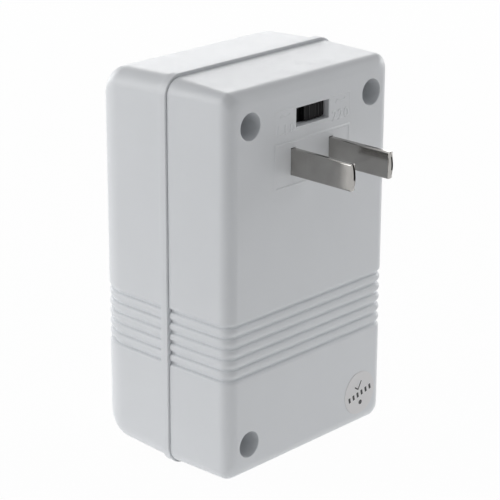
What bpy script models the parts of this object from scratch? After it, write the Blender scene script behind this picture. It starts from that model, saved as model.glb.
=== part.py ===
"""Voltage converter: a moulded housing in two halves, with an autotransformer inside.

A two-blade plug and a voltage selector are on one face, a two-pin outlet is on the other.
Metres. X is to the right seen from the plug face, which looks towards -Y, and Z is up. The origin is in the
middle of the underside of the rim band, on which the housing stands.
"""

import math
from collections import namedtuple

import bmesh
import bpy
from mathutils import Matrix, Vector

# Housing, measured at the seam without the rim band
HOUSING_WIDTH = 0.0549
HOUSING_HEIGHT = 0.0924
WALL = 0.0025
CLEARANCE = 0.0003
RIM_WIDTH = 0.0022
RIM_PROUD = 0.0005
RIM_ROUNDING = 0.00025

# Each half: depth from the seam, draft per metre, radii of the corners and of the face fillet. The plug half
# is set back at both ends, and its corners sharpen towards the face
PLUG_DEPTH = 0.0183
PLUG_END_STEP = 0.0002
PLUG_SIDE_DRAFT = 0.029
PLUG_END_DRAFT = 0.038
PLUG_CORNER = 0.0040
PLUG_FACE_CORNER = 0.0025
PLUG_FILLET = 0.0031
OUTLET_DEPTH = 0.0255
OUTLET_SIDE_DRAFT = 0.011
OUTLET_END_DRAFT = 0.042
OUTLET_CORNER = 0.00445
OUTLET_FILLET = 0.0094
CORNER_STEPS = 6
FILLET_STEPS = 6
MERGE_DISTANCE = 0.000001
WELD_DISTANCE = 0.00001

# Lap joint between the halves: the tongue stands on the outlet half
TONGUE_INSET = 0.00205
TONGUE_THICKNESS = 0.0011
TONGUE_REACH = 0.0017
TONGUE_ROOT = 0.0040

# Grip grooves round the sides and the plug face: the lowest is this share of the height up
GROOVE_COUNT = 6
GROOVE_PITCH = 0.00254
GROOVE_RISE = 0.2785
GROOVE_DEPTH = 0.00075
GROOVE_FLOOR = 0.0005
RIDGE_CREST = 0.00005
RIDGE_STEPS = 6

# Case screws in deep wells of the plug half: share of the width between them, and distance from the ends
WELL_SPREAD = 0.734
WELL_END = 0.0087
WELL_RADIUS = 0.0031
WELL_WALL = 0.0017
WELL_FLOOR = 0.0025
CASE_SCREW_SHANK = 0.00145
CASE_SCREW_LENGTH = 0.0150
CASE_SCREW_HEAD = 0.0026
CASE_SCREW_HEAD_HEIGHT = 0.0019
CASE_BOSS_WALL = 0.0017

# Pan heads, as shares of the head: rounding, and depth, reach and width of the cross. Tips, as shares of the
# shank: length and width
HEAD_ROUNDING = 0.45
CROSS_DEPTH = 0.6
CROSS_REACH = 0.6
CROSS_WIDTH = 0.12
TIP_LENGTH = 1.2
TIP_WIDTH = 0.25
CASE_SCREW_STEPS = 16
SMALL_SCREW_STEPS = 12

# Small self-tapping screws for the inner plates
SMALL_SCREW_SHANK = 0.0010
SMALL_SCREW_LENGTH = 0.0040
SMALL_SCREW_HEAD = 0.0018
SMALL_SCREW_HEAD_HEIGHT = 0.0013
SMALL_BOSS_WALL = 0.0013

# Blades, below the top of the housing, and the low panel round them, a share of the width. The middle of a
# blade's tip is crowned
BLADE_DROP = 0.0194
BLADE_PITCH = 0.0127
BLADE_HEIGHT = 0.00635
BLADE_THICKNESS = 0.0015
BLADE_LENGTH = 0.0180
BLADE_CROWN = 0.00075
BLADE_TIP_CHAMFER = 0.00035
BLADE_SLIT = 0.00015
BLADE_FOLD = 0.0009
BLADE_SHOULDER_HEIGHT = 0.0086
BLADE_SHOULDER = 0.0012
BLADE_TAIL_HEIGHT = 0.0040
BLADE_TAIL = 0.0055
BLADE_EYE_RADIUS = 0.0008
BLADE_CROWN_STEPS = 4
PANEL_SPREAD = 0.4625
BLADE_PANEL_DROP = 0.0197
BLADE_PANEL_HEIGHT = 0.0108
PANEL_RECESS = 0.0003
BEAD_WIDTH = 0.00045
BEAD_PROUD = 0.00015
RETAINER_THICKNESS = 0.0020
RETAINER_HEIGHT = 0.0100
BLADE_RETAINER_SCREW_X = 0.0165

# Voltage selector: the window is a share of the panel, the knob a share of the window
SELECTOR_DROP = 0.0096
SELECTOR_PANEL_HEIGHT = 0.0060
WINDOW_SPREAD = 0.43
WINDOW_HEIGHT = 0.0043
KNOB_SPREAD = 0.597
KNOB_DEPTH_BELOW_FACE = 0.0020
KNOB_RIB_COUNT = 6
KNOB_RIB_DEPTH = 0.00035
KNOB_PLATE = 0.0012
SELECTOR_PAD = 0.0015
SELECTOR_SHEET = 0.0008
SELECTOR_HEIGHT = 0.0086
SELECTOR_BASE_DEPTH = 0.0070
SELECTOR_BASE_WALL = 0.0012
SELECTOR_EAR_MARGIN = 0.0020
SELECTOR_GAP = 0.0005
SELECTOR_LEG_WIDTH = 0.0043
SELECTOR_HOOK_WIDTH = 0.0026
SELECTOR_END_RADIUS = 0.0026
TERMINAL_ROW = 0.0018
TERMINAL_WIDTH = 0.0020
TERMINAL_THICKNESS = 0.0006
TERMINAL_TAIL = 0.0032
TERMINAL_HEAD = 0.0006
BRIDGE_SHEET = 0.0004
BRIDGE_WIDTH = 0.0014
BRIDGE_STEPS = 8

# Outlet on the far face
OUTLET_RECESS_WIDTH = 0.0320
OUTLET_RECESS_HEIGHT = 0.0200
OUTLET_RECESS_CORNER = 0.0040
OUTLET_RECESS = 0.0008
OUTLET_FLAT_HEIGHT = 0.0076
OUTLET_FLAT_WIDTH = 0.0024
OUTLET_ROUND_PITCH = 0.0190
OUTLET_ROUND_RADIUS = 0.0027
OUTLET_WAY_HEIGHT = 0.0048
CONTACT_SHEET = 0.0005
CONTACT_HEIGHT = 0.0060
CONTACT_DEPTH = 0.0115
CONTACT_TAIL = 0.0050
CONTACT_TAIL_HEIGHT = 0.0030
OUTLET_RETAINER_SCREW_X = 0.0175

# Autotransformer of stamped E and I sheets, and the room that it leaves: round the core, above it for the
# leads, between coil and core, and between coil and housing
CORE_GAP = 0.00095
LEAD_SPACE = 0.01325
COIL_GAP = 0.0007
COIL_SPACE = 0.00175
CORE_TIE_GROOVE = 0.0010
BOBBIN_WALL = 0.0008
BOBBIN_FLANGE = 0.0009
PRIMARY_SHARE = 0.565
TAPE_BUILD = 0.0004
POST_WIDTH = 0.0070
POST_HEIGHT = 0.0050
SHELF_THICKNESS = 0.0020
SHELF_WIDTH = 0.0280
FUSE_RADIUS = 0.0019
FUSE_LENGTH = 0.0100
WIRE_RADIUS = 0.00065
WIRE_BEND = 0.0030
WIRE_STEPS = 2
JUMPER_RADIUS = 0.0004

# Round paper seal over the lower right well, a little inwards and up from its middle
STICKER_RADIUS = 0.0051
STICKER_INWARDS = 0.0014
STICKER_UP = 0.0007
STICKER_THICKNESS = 0.00015
STICKER_GAP = 0.0001

# Sizes and places that follow from those above
SEAM_Y = -RIM_WIDTH / 2
MID_Z = RIM_PROUD + HOUSING_HEIGHT / 2
TOP_Z = RIM_PROUD + HOUSING_HEIGHT
GROOVE_LOWEST_Z = RIM_PROUD + HOUSING_HEIGHT * GROOVE_RISE
PANEL_WIDTH = HOUSING_WIDTH * PANEL_SPREAD
WINDOW_WIDTH = PANEL_WIDTH * WINDOW_SPREAD
KNOB_WIDTH = WINDOW_WIDTH * KNOB_SPREAD
PLUG_FACE_Y = SEAM_Y - PLUG_DEPTH
PLUG_INNER_Y = PLUG_FACE_Y + WALL
PLUG_END_Y = SEAM_Y - CLEARANCE
OUTLET_FACE_Y = SEAM_Y + OUTLET_DEPTH
OUTLET_INNER_Y = OUTLET_FACE_Y - WALL
SIDES = {"left": -1, "right": 1}
WELL_X = HOUSING_WIDTH * WELL_SPREAD / 2
WELL_HIGH_Z = TOP_Z - WELL_END
WELL_LOW_Z = RIM_PROUD + WELL_END
WELL_BOSS = WELL_RADIUS + WELL_WALL
WELL_PLACES = {
    "top_left": (-WELL_X, WELL_HIGH_Z),
    "top_right": (WELL_X, WELL_HIGH_Z),
    "bottom_left": (-WELL_X, WELL_LOW_Z),
    "bottom_right": (WELL_X, WELL_LOW_Z),
}
BLADE_Z = TOP_Z - BLADE_DROP
BLADE_PANEL_Z = TOP_Z - BLADE_PANEL_DROP
SELECTOR_Z = TOP_Z - SELECTOR_DROP
CORE_WIDTH = HOUSING_WIDTH - 2 * (WALL + CORE_GAP)
CORE_LIMB = CORE_WIDTH / 6
CORE_BOTTOM_Z = WELL_LOW_Z + WELL_BOSS + CORE_GAP
CORE_TOP_Z = BLADE_Z - RETAINER_HEIGHT / 2 - LEAD_SPACE
CORE_WINDOW_HEIGHT = CORE_TOP_Z - CORE_BOTTOM_Z - 2 * CORE_LIMB - CLEARANCE
WINDING_BUILD = CORE_LIMB - BOBBIN_WALL - TAPE_BUILD - COIL_GAP - 5 * CLEARANCE
PRIMARY_BUILD = WINDING_BUILD * PRIMARY_SHARE
SECONDARY_BUILD = WINDING_BUILD - PRIMARY_BUILD
COIL_REACH = WINDING_BUILD + TAPE_BUILD + 4 * CLEARANCE
CORE_Y = (PLUG_INNER_Y + OUTLET_INNER_Y) / 2
CORE_STACK = OUTLET_INNER_Y - PLUG_INNER_Y - 2 * (CLEARANCE + BOBBIN_WALL + COIL_REACH + COIL_SPACE)
WINDOW_TRAVEL = WINDOW_WIDTH - KNOB_WIDTH - 2 * CLEARANCE
SELECTOR_SCREW_X = WELL_X - WELL_BOSS - SELECTOR_EAR_MARGIN - SELECTOR_GAP
SELECTOR_BASE_WIDTH = 2 * (SELECTOR_SCREW_X - SMALL_SCREW_HEAD - SELECTOR_SHEET - 2 * CLEARANCE)
KNOB_PLATE_WIDTH = SELECTOR_BASE_WIDTH - 2 * (SELECTOR_BASE_WALL + CLEARANCE) - WINDOW_TRAVEL
SELECTOR_FRAME_Y = PLUG_INNER_Y + SELECTOR_PAD + CLEARANCE
SELECTOR_BASE_Y = SELECTOR_FRAME_Y + SELECTOR_SHEET + CLEARANCE
SELECTOR_FLOOR_Y = SELECTOR_BASE_Y + SELECTOR_BASE_DEPTH - SELECTOR_BASE_WALL
BLADE_SHOULDER_Y = PLUG_INNER_Y + CLEARANCE
BLADE_RETAINER_Y = BLADE_SHOULDER_Y + BLADE_SHOULDER + CLEARANCE
BLADE_RETAINER_HEAD_Y = BLADE_RETAINER_Y + RETAINER_THICKNESS + CLEARANCE
SELECTOR_HEAD_Y = SELECTOR_FRAME_Y + SELECTOR_SHEET + CLEARANCE
BLADE_TAIL_Y = BLADE_RETAINER_Y + RETAINER_THICKNESS + BLADE_TAIL
CONTACT_Y = OUTLET_INNER_Y - CLEARANCE - CONTACT_DEPTH
OUTLET_RETAINER_Y = CONTACT_Y - CLEARANCE - RETAINER_THICKNESS
OUTLET_RETAINER_HEAD_Y = OUTLET_RETAINER_Y - CLEARANCE
CONTACT_INNER_X = BLADE_PITCH / 2 - OUTLET_FLAT_WIDTH / 2 - CLEARANCE
CONTACT_OUTER_X = OUTLET_ROUND_PITCH / 2 + OUTLET_ROUND_RADIUS + CLEARANCE
CONTACT_TAIL_X = (CONTACT_INNER_X + CONTACT_OUTER_X) / 2
STICKER_X = WELL_X - STICKER_INWARDS
STICKER_Z = WELL_LOW_Z + STICKER_UP

Half = namedtuple("Half", "way depth end_step side_draft end_draft corner face_corner fillet")
PLUG = Half(
    way=-1,
    depth=PLUG_DEPTH,
    end_step=PLUG_END_STEP,
    side_draft=PLUG_SIDE_DRAFT,
    end_draft=PLUG_END_DRAFT,
    corner=PLUG_CORNER,
    face_corner=PLUG_FACE_CORNER,
    fillet=PLUG_FILLET,
)
OUTLET = Half(
    way=1,
    depth=OUTLET_DEPTH,
    end_step=0.0,
    side_draft=OUTLET_SIDE_DRAFT,
    end_draft=OUTLET_END_DRAFT,
    corner=OUTLET_CORNER,
    face_corner=OUTLET_CORNER,
    fillet=OUTLET_FILLET,
)

# Turns a flat outline drawn in XY so that its first axis is world X or Y and its second is world Z
FACING_Y = Matrix(((1, 0, 0, 0), (0, 0, -1, 0), (0, 1, 0, 0), (0, 0, 0, 1)))
FACING_X = Matrix(((0, 0, 1, 0), (1, 0, 0, 0), (0, 1, 0, 0), (0, 0, 0, 1)))

COLOURS = {
    "white_abs": ((0.80, 0.81, 0.82), 0.42, 0.0),
    "black_nylon": ((0.02, 0.02, 0.02), 0.35, 0.0),
    "nickel": ((0.48, 0.47, 0.45), 0.30, 1.0),
    "zinc_steel": ((0.55, 0.55, 0.56), 0.35, 1.0),
    "brass": ((0.72, 0.55, 0.25), 0.35, 1.0),
    "silicon_steel": ((0.20, 0.20, 0.21), 0.50, 1.0),
    "copper_enamel": ((0.55, 0.20, 0.06), 0.35, 0.6),
    "polyester_tape": ((0.85, 0.70, 0.15), 0.30, 0.0),
    "nylon_natural": ((0.75, 0.72, 0.62), 0.50, 0.0),
    "phenolic": ((0.16, 0.07, 0.03), 0.50, 0.0),
    "fuse_body": ((0.80, 0.78, 0.70), 0.40, 0.0),
    "paper": ((0.70, 0.71, 0.73), 0.60, 0.0),
    "copper_bare": ((0.75, 0.40, 0.25), 0.30, 1.0),
    "wire_red": ((0.60, 0.03, 0.03), 0.45, 0.0),
    "wire_black": ((0.02, 0.02, 0.02), 0.45, 0.0),
    "wire_white": ((0.75, 0.75, 0.73), 0.45, 0.0),
    "wire_yellow": ((0.80, 0.60, 0.05), 0.45, 0.0),
}


def clear_scene():
    for obj in list(bpy.data.objects):
        bpy.data.objects.remove(obj, do_unlink=True)


def make_collection(name):
    collection = bpy.data.collections.new(name)
    bpy.context.scene.collection.children.link(collection)
    return collection


def make_materials():
    materials = {}
    for name, (colour, roughness, metallic) in COLOURS.items():
        material = bpy.data.materials.new(name)
        material.use_nodes = True
        shader = material.node_tree.nodes["Principled BSDF"]
        shader.inputs["Base Color"].default_value = (*colour, 1.0)
        shader.inputs["Roughness"].default_value = roughness
        shader.inputs["Metallic"].default_value = metallic
        materials[name] = material
    return materials


clear_scene()
PARTS = make_collection("voltage_converter")
CUTTERS = make_collection("cutters")
MATERIALS = make_materials()


def add_object(name, data, material=None, place=None):
    """Links an object: a part where it has a material, otherwise a cutter."""
    obj = bpy.data.objects.new(name, data)
    if place is not None:
        obj.matrix_world = place
    if material:
        obj.data.materials.append(MATERIALS[material])
        PARTS.objects.link(obj)
    else:
        obj.hide_render = True
        obj.display_type = "WIRE"
        CUTTERS.objects.link(obj)
    return obj


def mesh_from(bm, name):
    bmesh.ops.recalc_face_normals(bm, faces=bm.faces)
    mesh = bpy.data.meshes.new(name)
    bm.to_mesh(mesh)
    bm.free()
    return mesh


def box(name, low, high, material=None):
    """A block from one corner to the opposite one."""
    low = Vector(low)
    high = Vector(high)
    bm = bmesh.new()
    bmesh.ops.create_cube(bm, size=1.0)
    for vert in bm.verts:
        vert.co = Vector([vert.co[axis] * (high[axis] - low[axis]) for axis in range(3)])
    return add_object(name, mesh_from(bm, name), material, Matrix.Translation((low + high) / 2))


def rod(name, x, z, radius, y_from, y_to, material=None, sides=24):
    """A round bar along Y."""
    bm = bmesh.new()
    length = abs(y_to - y_from)
    bmesh.ops.create_cone(bm, cap_ends=True, segments=sides, radius1=radius, radius2=radius, depth=length)
    mesh = mesh_from(bm, name)
    place = Matrix.Translation((x, (y_from + y_to) / 2, z)) @ Matrix.Rotation(math.pi / 2, 4, "X")
    return add_object(name, mesh, material, place)


def evaluated_mesh(obj):
    """The welded mesh of a curve object, which is then removed."""
    bpy.context.view_layer.update()
    graph = bpy.context.evaluated_depsgraph_get()
    mesh = bpy.data.meshes.new_from_object(obj.evaluated_get(graph))
    bm = bmesh.new()
    bm.from_mesh(mesh)
    bmesh.ops.remove_doubles(bm, verts=bm.verts, dist=MERGE_DISTANCE)
    bmesh.ops.recalc_face_normals(bm, faces=bm.faces)
    bm.to_mesh(mesh)
    bm.free()
    bpy.data.objects.remove(obj, do_unlink=True)
    return mesh


def poly_curve(name, points, closed, flat):
    curve = bpy.data.curves.new(name, "CURVE")
    curve.dimensions = "2D" if flat else "3D"
    spline = curve.splines.new("POLY")
    spline.points.add(len(points) - 1)
    for spot, point in zip(spline.points, points):
        spot.co = (*point, 0.0, 1.0) if flat else (*point, 1.0)
    spline.use_cyclic_u = closed
    return curve


def plate(name, points, thickness, place, material=None):
    """A flat outline with thickness, half to each side of its plane."""
    curve = poly_curve(name, points, closed=True, flat=True)
    curve.fill_mode = "BOTH"
    curve.extrude = thickness / 2
    drawn = bpy.data.objects.new(name + "_outline", curve)
    CUTTERS.objects.link(drawn)
    return add_object(name, evaluated_mesh(drawn), material, place)


def wire(name, points, material, radius=WIRE_RADIUS):
    """A tube along a smooth route through the given points."""
    curve = poly_curve(name, smooth(points, WIRE_STEPS), closed=False, flat=False)
    curve.bevel_depth = radius
    curve.bevel_resolution = 2
    curve.use_fill_caps = True
    drawn = bpy.data.objects.new(name + "_route", curve)
    CUTTERS.objects.link(drawn)
    return add_object(name, evaluated_mesh(drawn), material)


def smooth(points, steps):
    """A Catmull-Rom curve through the points."""
    spots = [2 * points[0] - points[1], *points, 2 * points[-1] - points[-2]]
    fine = []
    for index in range(1, len(spots) - 2):
        before, start, end, after = spots[index - 1:index + 3]
        for step in range(steps):
            t = step / steps
            spot = 2 * start + (end - before) * t
            spot += (2 * before - 5 * start + 4 * end - after) * t ** 2
            spot += (3 * start - before - 3 * end + after) * t ** 3
            fine.append(tuple(spot / 2))
    fine.append(tuple(spots[-2]))
    return fine


def turned(name, profile, place, material, steps):
    """A body of revolution: radius and height pairs, from the top of the axis to its bottom."""
    bm = bmesh.new()
    verts = [bm.verts.new((radius, 0.0, height)) for radius, height in profile]
    for first, second in zip(verts, verts[1:]):
        bm.edges.new((first, second))
    mesh = bpy.data.meshes.new(name)
    bm.to_mesh(mesh)
    bm.free()
    obj = add_object(name, mesh, material, place)
    modifier = obj.modifiers.new("turn", "SCREW")
    modifier.steps = steps
    modifier.render_steps = steps
    modifier.use_merge_vertices = True
    modifier.merge_threshold = MERGE_DISTANCE
    modifier.use_smooth_shade = False
    return obj


def combine(obj, other, operation):
    modifier = obj.modifiers.new(other.name, "BOOLEAN")
    modifier.operation = operation
    modifier.solver = "EXACT"
    modifier.object = other
    return obj


def cut(obj, *cutters):
    for cutter in cutters:
        combine(obj, cutter, "DIFFERENCE")
    return obj


def weld(obj):
    """Merges the near doubles that a cut leaves where two arrises cross."""
    modifier = obj.modifiers.new("weld", "WELD")
    modifier.merge_threshold = WELD_DISTANCE
    return obj


def join(obj, *others):
    for other in others:
        combine(obj, other, "UNION")
    return obj


def rounded(half_x, half_z, radius, steps=CORNER_STEPS):
    """Corner points of a rounded rectangle round the origin."""
    points = []
    for quarter, (way_x, way_z) in enumerate(((1, 1), (-1, 1), (-1, -1), (1, -1))):
        for step in range(steps + 1):
            angle = (quarter + step / steps) * math.pi / 2
            x = way_x * (half_x - radius) + radius * math.cos(angle)
            z = way_z * (half_z - radius) + radius * math.sin(angle)
            points.append((x, z))
    return points


def section(half, travel, inset, corner_inset):
    """A rounded rectangle across one housing half, at a distance from the seam."""
    half_x = HOUSING_WIDTH / 2 - inset - half.side_draft * travel
    half_z = HOUSING_HEIGHT / 2 - half.end_step - inset - half.end_draft * travel
    corner = half.corner + (half.face_corner - half.corner) * travel / half.depth
    corner = max(corner - corner_inset, BEAD_WIDTH)
    return SEAM_Y + half.way * travel, half_x, half_z, corner


def band_section(travel, inset):
    """A section of the rim band, which has no draft, so that the housing stands level on it."""
    _, half_x, half_z, corner = section(OUTLET, 0.0, inset, inset)
    return SEAM_Y + travel, half_x, half_z, corner


def half_sections(half, wall=0.0, start=0.0):
    """Sections of a half from the seam to its face, all a wall's thickness inside the outer form."""
    reach = half.depth - wall
    fillet = half.fillet - wall
    sections = [section(half, start, wall, wall)]
    for step in range(FILLET_STEPS + 1):
        turn = step / FILLET_STEPS * math.pi / 2
        travel = reach - fillet + fillet * math.sin(turn)
        sections.append(section(half, travel, wall + fillet - fillet * math.cos(turn), wall))
    return sections


def ring_sections(half, inset, start, end):
    return [section(half, start, inset, inset), section(half, end, inset, inset)]


def loft(name, sections, material=None):
    """A closed body through rounded rectangles."""
    bm = bmesh.new()
    rings = []
    for y, half_x, half_z, corner in sections:
        rings.append([bm.verts.new((x, y, MID_Z + z)) for x, z in rounded(half_x, half_z, corner)])
    for near, far in zip(rings, rings[1:]):
        for index, vert in enumerate(near):
            bm.faces.new((near[index - 1], vert, far[index], far[index - 1]))
    bm.faces.new(rings[0])
    bm.faces.new(rings[-1])
    return add_object(name, mesh_from(bm, name), material)


def groove_profile():
    """Six rounded grooves as one comb: outward distance and height pairs."""
    ridge = (GROOVE_PITCH - GROOVE_FLOOR) / 2
    outside = RIM_PROUD + GROOVE_DEPTH
    last = GROOVE_COUNT - 1
    points = [(outside, -GROOVE_FLOOR / 2 - ridge)]
    points += ridge_points(-GROOVE_FLOOR / 2 - ridge, ridge, RIDGE_CREST, first=RIDGE_STEPS // 2)
    for index in range(last):
        middle = (index + 0.5) * GROOVE_PITCH
        points += ridge_points(middle, ridge, -RIDGE_CREST)
    middle = last * GROOVE_PITCH + GROOVE_FLOOR / 2 + ridge
    points += ridge_points(middle, ridge, RIDGE_CREST, last=RIDGE_STEPS // 2)
    points.append((outside, middle))
    return points


def ridge_points(middle, half_width, crest, first=0, last=RIDGE_STEPS):
    """Half an ellipse over one ridge, from its lower foot up."""
    points = []
    for step in range(first, last + 1):
        turn = math.pi * step / RIDGE_STEPS
        outward = (GROOVE_DEPTH + crest) * math.sin(turn) - GROOVE_DEPTH
        points.append((outward, middle - half_width * math.cos(turn)))
    return points


def groove_cutter(half, start):
    """The comb swept along the half's plan outline, from one side of the seam round the face to the other."""
    name = "plug_grooves" if half.way < 0 else "outlet_grooves"
    right = []
    for y, half_x, _, _ in half_sections(half, start=start):
        right.append((half_x, y))
    left = [(-x, y) for x, y in reversed(right)]
    path = right + left
    if half.way < 0:
        path.reverse()
    curve = poly_curve(name, [(x, y, GROOVE_LOWEST_Z) for x, y in path], closed=False, flat=False)
    curve.twist_mode = "Z_UP"
    curve.use_fill_caps = True
    curve.bevel_mode = "OBJECT"
    profile = poly_curve(name + "_profile", groove_profile(), closed=True, flat=True)
    profile_object = bpy.data.objects.new(name + "_profile", profile)
    CUTTERS.objects.link(profile_object)
    curve.bevel_object = profile_object
    sweep = bpy.data.objects.new(name + "_sweep", curve)
    CUTTERS.objects.link(sweep)
    mesh = evaluated_mesh(sweep)
    bpy.data.objects.remove(profile_object, do_unlink=True)
    return add_object(name, mesh)


def plug_shell():
    """Front half: blades, selector window, screw wells and grooves."""
    shell = loft("plug_shell", half_sections(PLUG, start=CLEARANCE), "white_abs")
    cavity = loft("plug_cavity", half_sections(PLUG, wall=WALL, start=-WALL))
    for name, (x, z) in WELL_PLACES.items():
        cut(cavity, rod("well_boss_" + name, x, z, WELL_BOSS, PLUG_FACE_Y, PLUG_END_Y))
    for name, way in SIDES.items():
        retainer_boss = SMALL_SCREW_SHANK + CLEARANCE + SMALL_BOSS_WALL
        retainer_boss_end = BLADE_RETAINER_Y - CLEARANCE
        x = way * BLADE_RETAINER_SCREW_X
        cut(cavity, rod("blade_boss_" + name, x, BLADE_Z, retainer_boss, PLUG_FACE_Y, retainer_boss_end))
        pad_end = SELECTOR_FRAME_Y - CLEARANCE
        x = way * SELECTOR_SCREW_X
        cut(cavity, rod("selector_pad_" + name, x, SELECTOR_Z, SELECTOR_EAR_MARGIN, PLUG_FACE_Y, pad_end))
        cut(cavity, *core_posts("plug_" + name, way, PLUG_FACE_Y, CORE_Y - CORE_STACK / 2 - CLEARANCE))
    cut(shell, cavity)
    rebate = ring_sections(OUTLET, TONGUE_INSET - CLEARANCE, WALL, -TONGUE_REACH - CLEARANCE)
    cut(shell, loft("plug_rebate", rebate))
    weld(cut(shell, groove_cutter(PLUG, -WALL)))
    for name, (x, z) in WELL_PLACES.items():
        floor = PLUG_END_Y - WELL_FLOOR
        cut(shell, rod("well_" + name, x, z, WELL_RADIUS, PLUG_FACE_Y - WALL, floor))
        radius = CASE_SCREW_SHANK + CLEARANCE
        cut(shell, rod("well_hole_" + name, x, z, radius, floor - WALL, SEAM_Y + WALL, sides=16))
    panel_frame(shell, "selector_panel", SELECTOR_Z, SELECTOR_PANEL_HEIGHT, BEAD_PROUD)
    panel_frame(shell, "blade_panel", BLADE_PANEL_Z, BLADE_PANEL_HEIGHT, PANEL_RECESS)
    for name, way in SIDES.items():
        half_x = BLADE_THICKNESS / 2 + CLEARANCE
        half_z = BLADE_HEIGHT / 2 + CLEARANCE
        x = way * BLADE_PITCH / 2
        low = (x - half_x, PLUG_FACE_Y - WALL, BLADE_Z - half_z)
        high = (x + half_x, PLUG_INNER_Y + WALL, BLADE_Z + half_z)
        cut(shell, box("blade_slot_" + name, low, high))
        x = way * BLADE_RETAINER_SCREW_X
        cut(shell, pilot("blade_pilot_" + name, x, BLADE_Z, BLADE_RETAINER_HEAD_Y, -1))
        x = way * SELECTOR_SCREW_X
        cut(shell, pilot("selector_pilot_" + name, x, SELECTOR_Z, SELECTOR_HEAD_Y, -1))
    low = (-WINDOW_WIDTH / 2, PLUG_FACE_Y - WALL, SELECTOR_Z - WINDOW_HEIGHT / 2)
    high = (WINDOW_WIDTH / 2, PLUG_INNER_Y + WALL, SELECTOR_Z + WINDOW_HEIGHT / 2)
    cut(shell, box("window", low, high))
    return shell


def pilot(name, x, z, under_head, way):
    """A blind hole for a small screw, from under its head to just past its tip."""
    bottom = under_head + way * (SMALL_SCREW_LENGTH + CLEARANCE)
    return rod(name, x, z, SMALL_SCREW_SHANK + CLEARANCE, under_head, bottom, sides=12)


def panel_frame(shell, name, z, height, recess):
    """A thin raised bead round a rectangle, whose floor lies a little below the face."""
    half_x = PANEL_WIDTH / 2
    half_z = height / 2
    top = PLUG_FACE_Y - BEAD_PROUD
    bead = box(name + "_bead", (-half_x, top, z - half_z), (half_x, PLUG_FACE_Y + WALL / 2, z + half_z))
    join(shell, bead)
    half_x -= BEAD_WIDTH
    half_z -= BEAD_WIDTH
    low = (-half_x, PLUG_FACE_Y - WALL, z - half_z)
    cut(shell, box(name + "_floor", low, (half_x, PLUG_FACE_Y + recess, z + half_z)))


def core_posts(name, way, y_from, y_to):
    """Two posts that press on the corners of the core, one low and one high."""
    x = way * (CORE_WIDTH / 2 - POST_WIDTH / 2)
    posts = []
    for level, z in (("low", CORE_BOTTOM_Z), ("high", CORE_TOP_Z - POST_HEIGHT)):
        low = (x - POST_WIDTH / 2, min(y_from, y_to), z)
        high = (x + POST_WIDTH / 2, max(y_from, y_to), z + POST_HEIGHT)
        posts.append(box("post_" + name + "_" + level, low, high))
    return posts


def outlet_shell():
    """Rear half: rim band, tongue, screw bosses, core shelves and the outlet."""
    sections = [
        band_section(0.0, RIM_ROUNDING - RIM_PROUD),
        band_section(RIM_ROUNDING, -RIM_PROUD),
        band_section(RIM_WIDTH - RIM_ROUNDING, -RIM_PROUD),
        band_section(RIM_WIDTH, RIM_ROUNDING - RIM_PROUD),
    ]
    shell = loft("outlet_shell", sections + half_sections(OUTLET, start=RIM_WIDTH), "white_abs")
    cavity = loft("outlet_cavity", half_sections(OUTLET, wall=WALL, start=-WALL))
    boss = CASE_SCREW_SHANK + CLEARANCE + CASE_BOSS_WALL
    for name, (x, z) in WELL_PLACES.items():
        cut(cavity, rod("case_boss_" + name, x, z, boss, SEAM_Y + CLEARANCE, OUTLET_FACE_Y))
    small_boss = SMALL_SCREW_SHANK + CLEARANCE + SMALL_BOSS_WALL
    retainer_mouth = OUTLET_RETAINER_Y + RETAINER_THICKNESS + CLEARANCE
    for name, way in SIDES.items():
        x = way * OUTLET_RETAINER_SCREW_X
        cut(cavity, rod("contact_boss_" + name, x, BLADE_Z, small_boss, retainer_mouth, OUTLET_FACE_Y))
        cut(cavity, *core_posts("outlet_" + name, way, OUTLET_FACE_Y, CORE_Y + CORE_STACK / 2 + CLEARANCE))
    for name, z in (
        ("under", CORE_BOTTOM_Z - CLEARANCE - SHELF_THICKNESS),
        ("over", CORE_TOP_Z + CLEARANCE),
    ):
        low = (-SHELF_WIDTH / 2, CORE_Y, z)
        cut(cavity, box("shelf_" + name, low, (SHELF_WIDTH / 2, OUTLET_FACE_Y, z + SHELF_THICKNESS)))
    cut(shell, cavity)
    tongue = loft("tongue", ring_sections(OUTLET, TONGUE_INSET, -TONGUE_REACH, TONGUE_ROOT))
    inner = TONGUE_INSET + TONGUE_THICKNESS
    cut(tongue, loft("tongue_bore", ring_sections(OUTLET, inner, -TONGUE_REACH - WALL, TONGUE_ROOT + WALL)))
    join(shell, tongue)
    weld(cut(shell, groove_cutter(OUTLET, RIM_WIDTH + RIM_ROUNDING)))
    for name, (x, z) in WELL_PLACES.items():
        radius = CASE_SCREW_SHANK + CLEARANCE
        bottom = PLUG_END_Y - WELL_FLOOR + CASE_SCREW_LENGTH
        cut(shell, rod("case_pilot_" + name, x, z, radius, SEAM_Y - WALL, bottom, sides=16))
    for name, way in SIDES.items():
        x = way * OUTLET_RETAINER_SCREW_X
        cut(shell, pilot("contact_pilot_" + name, x, BLADE_Z, OUTLET_RETAINER_HEAD_Y, 1))
    recess = rounded(OUTLET_RECESS_WIDTH / 2, OUTLET_RECESS_HEIGHT / 2, OUTLET_RECESS_CORNER)
    place = Matrix.Translation((0.0, OUTLET_FACE_Y, BLADE_Z)) @ FACING_Y
    cut(shell, plate("outlet_recess", recess, 2 * OUTLET_RECESS, place))
    for name, way in SIDES.items():
        cut(shell, outlet_hole(name, way))
    return shell


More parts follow.
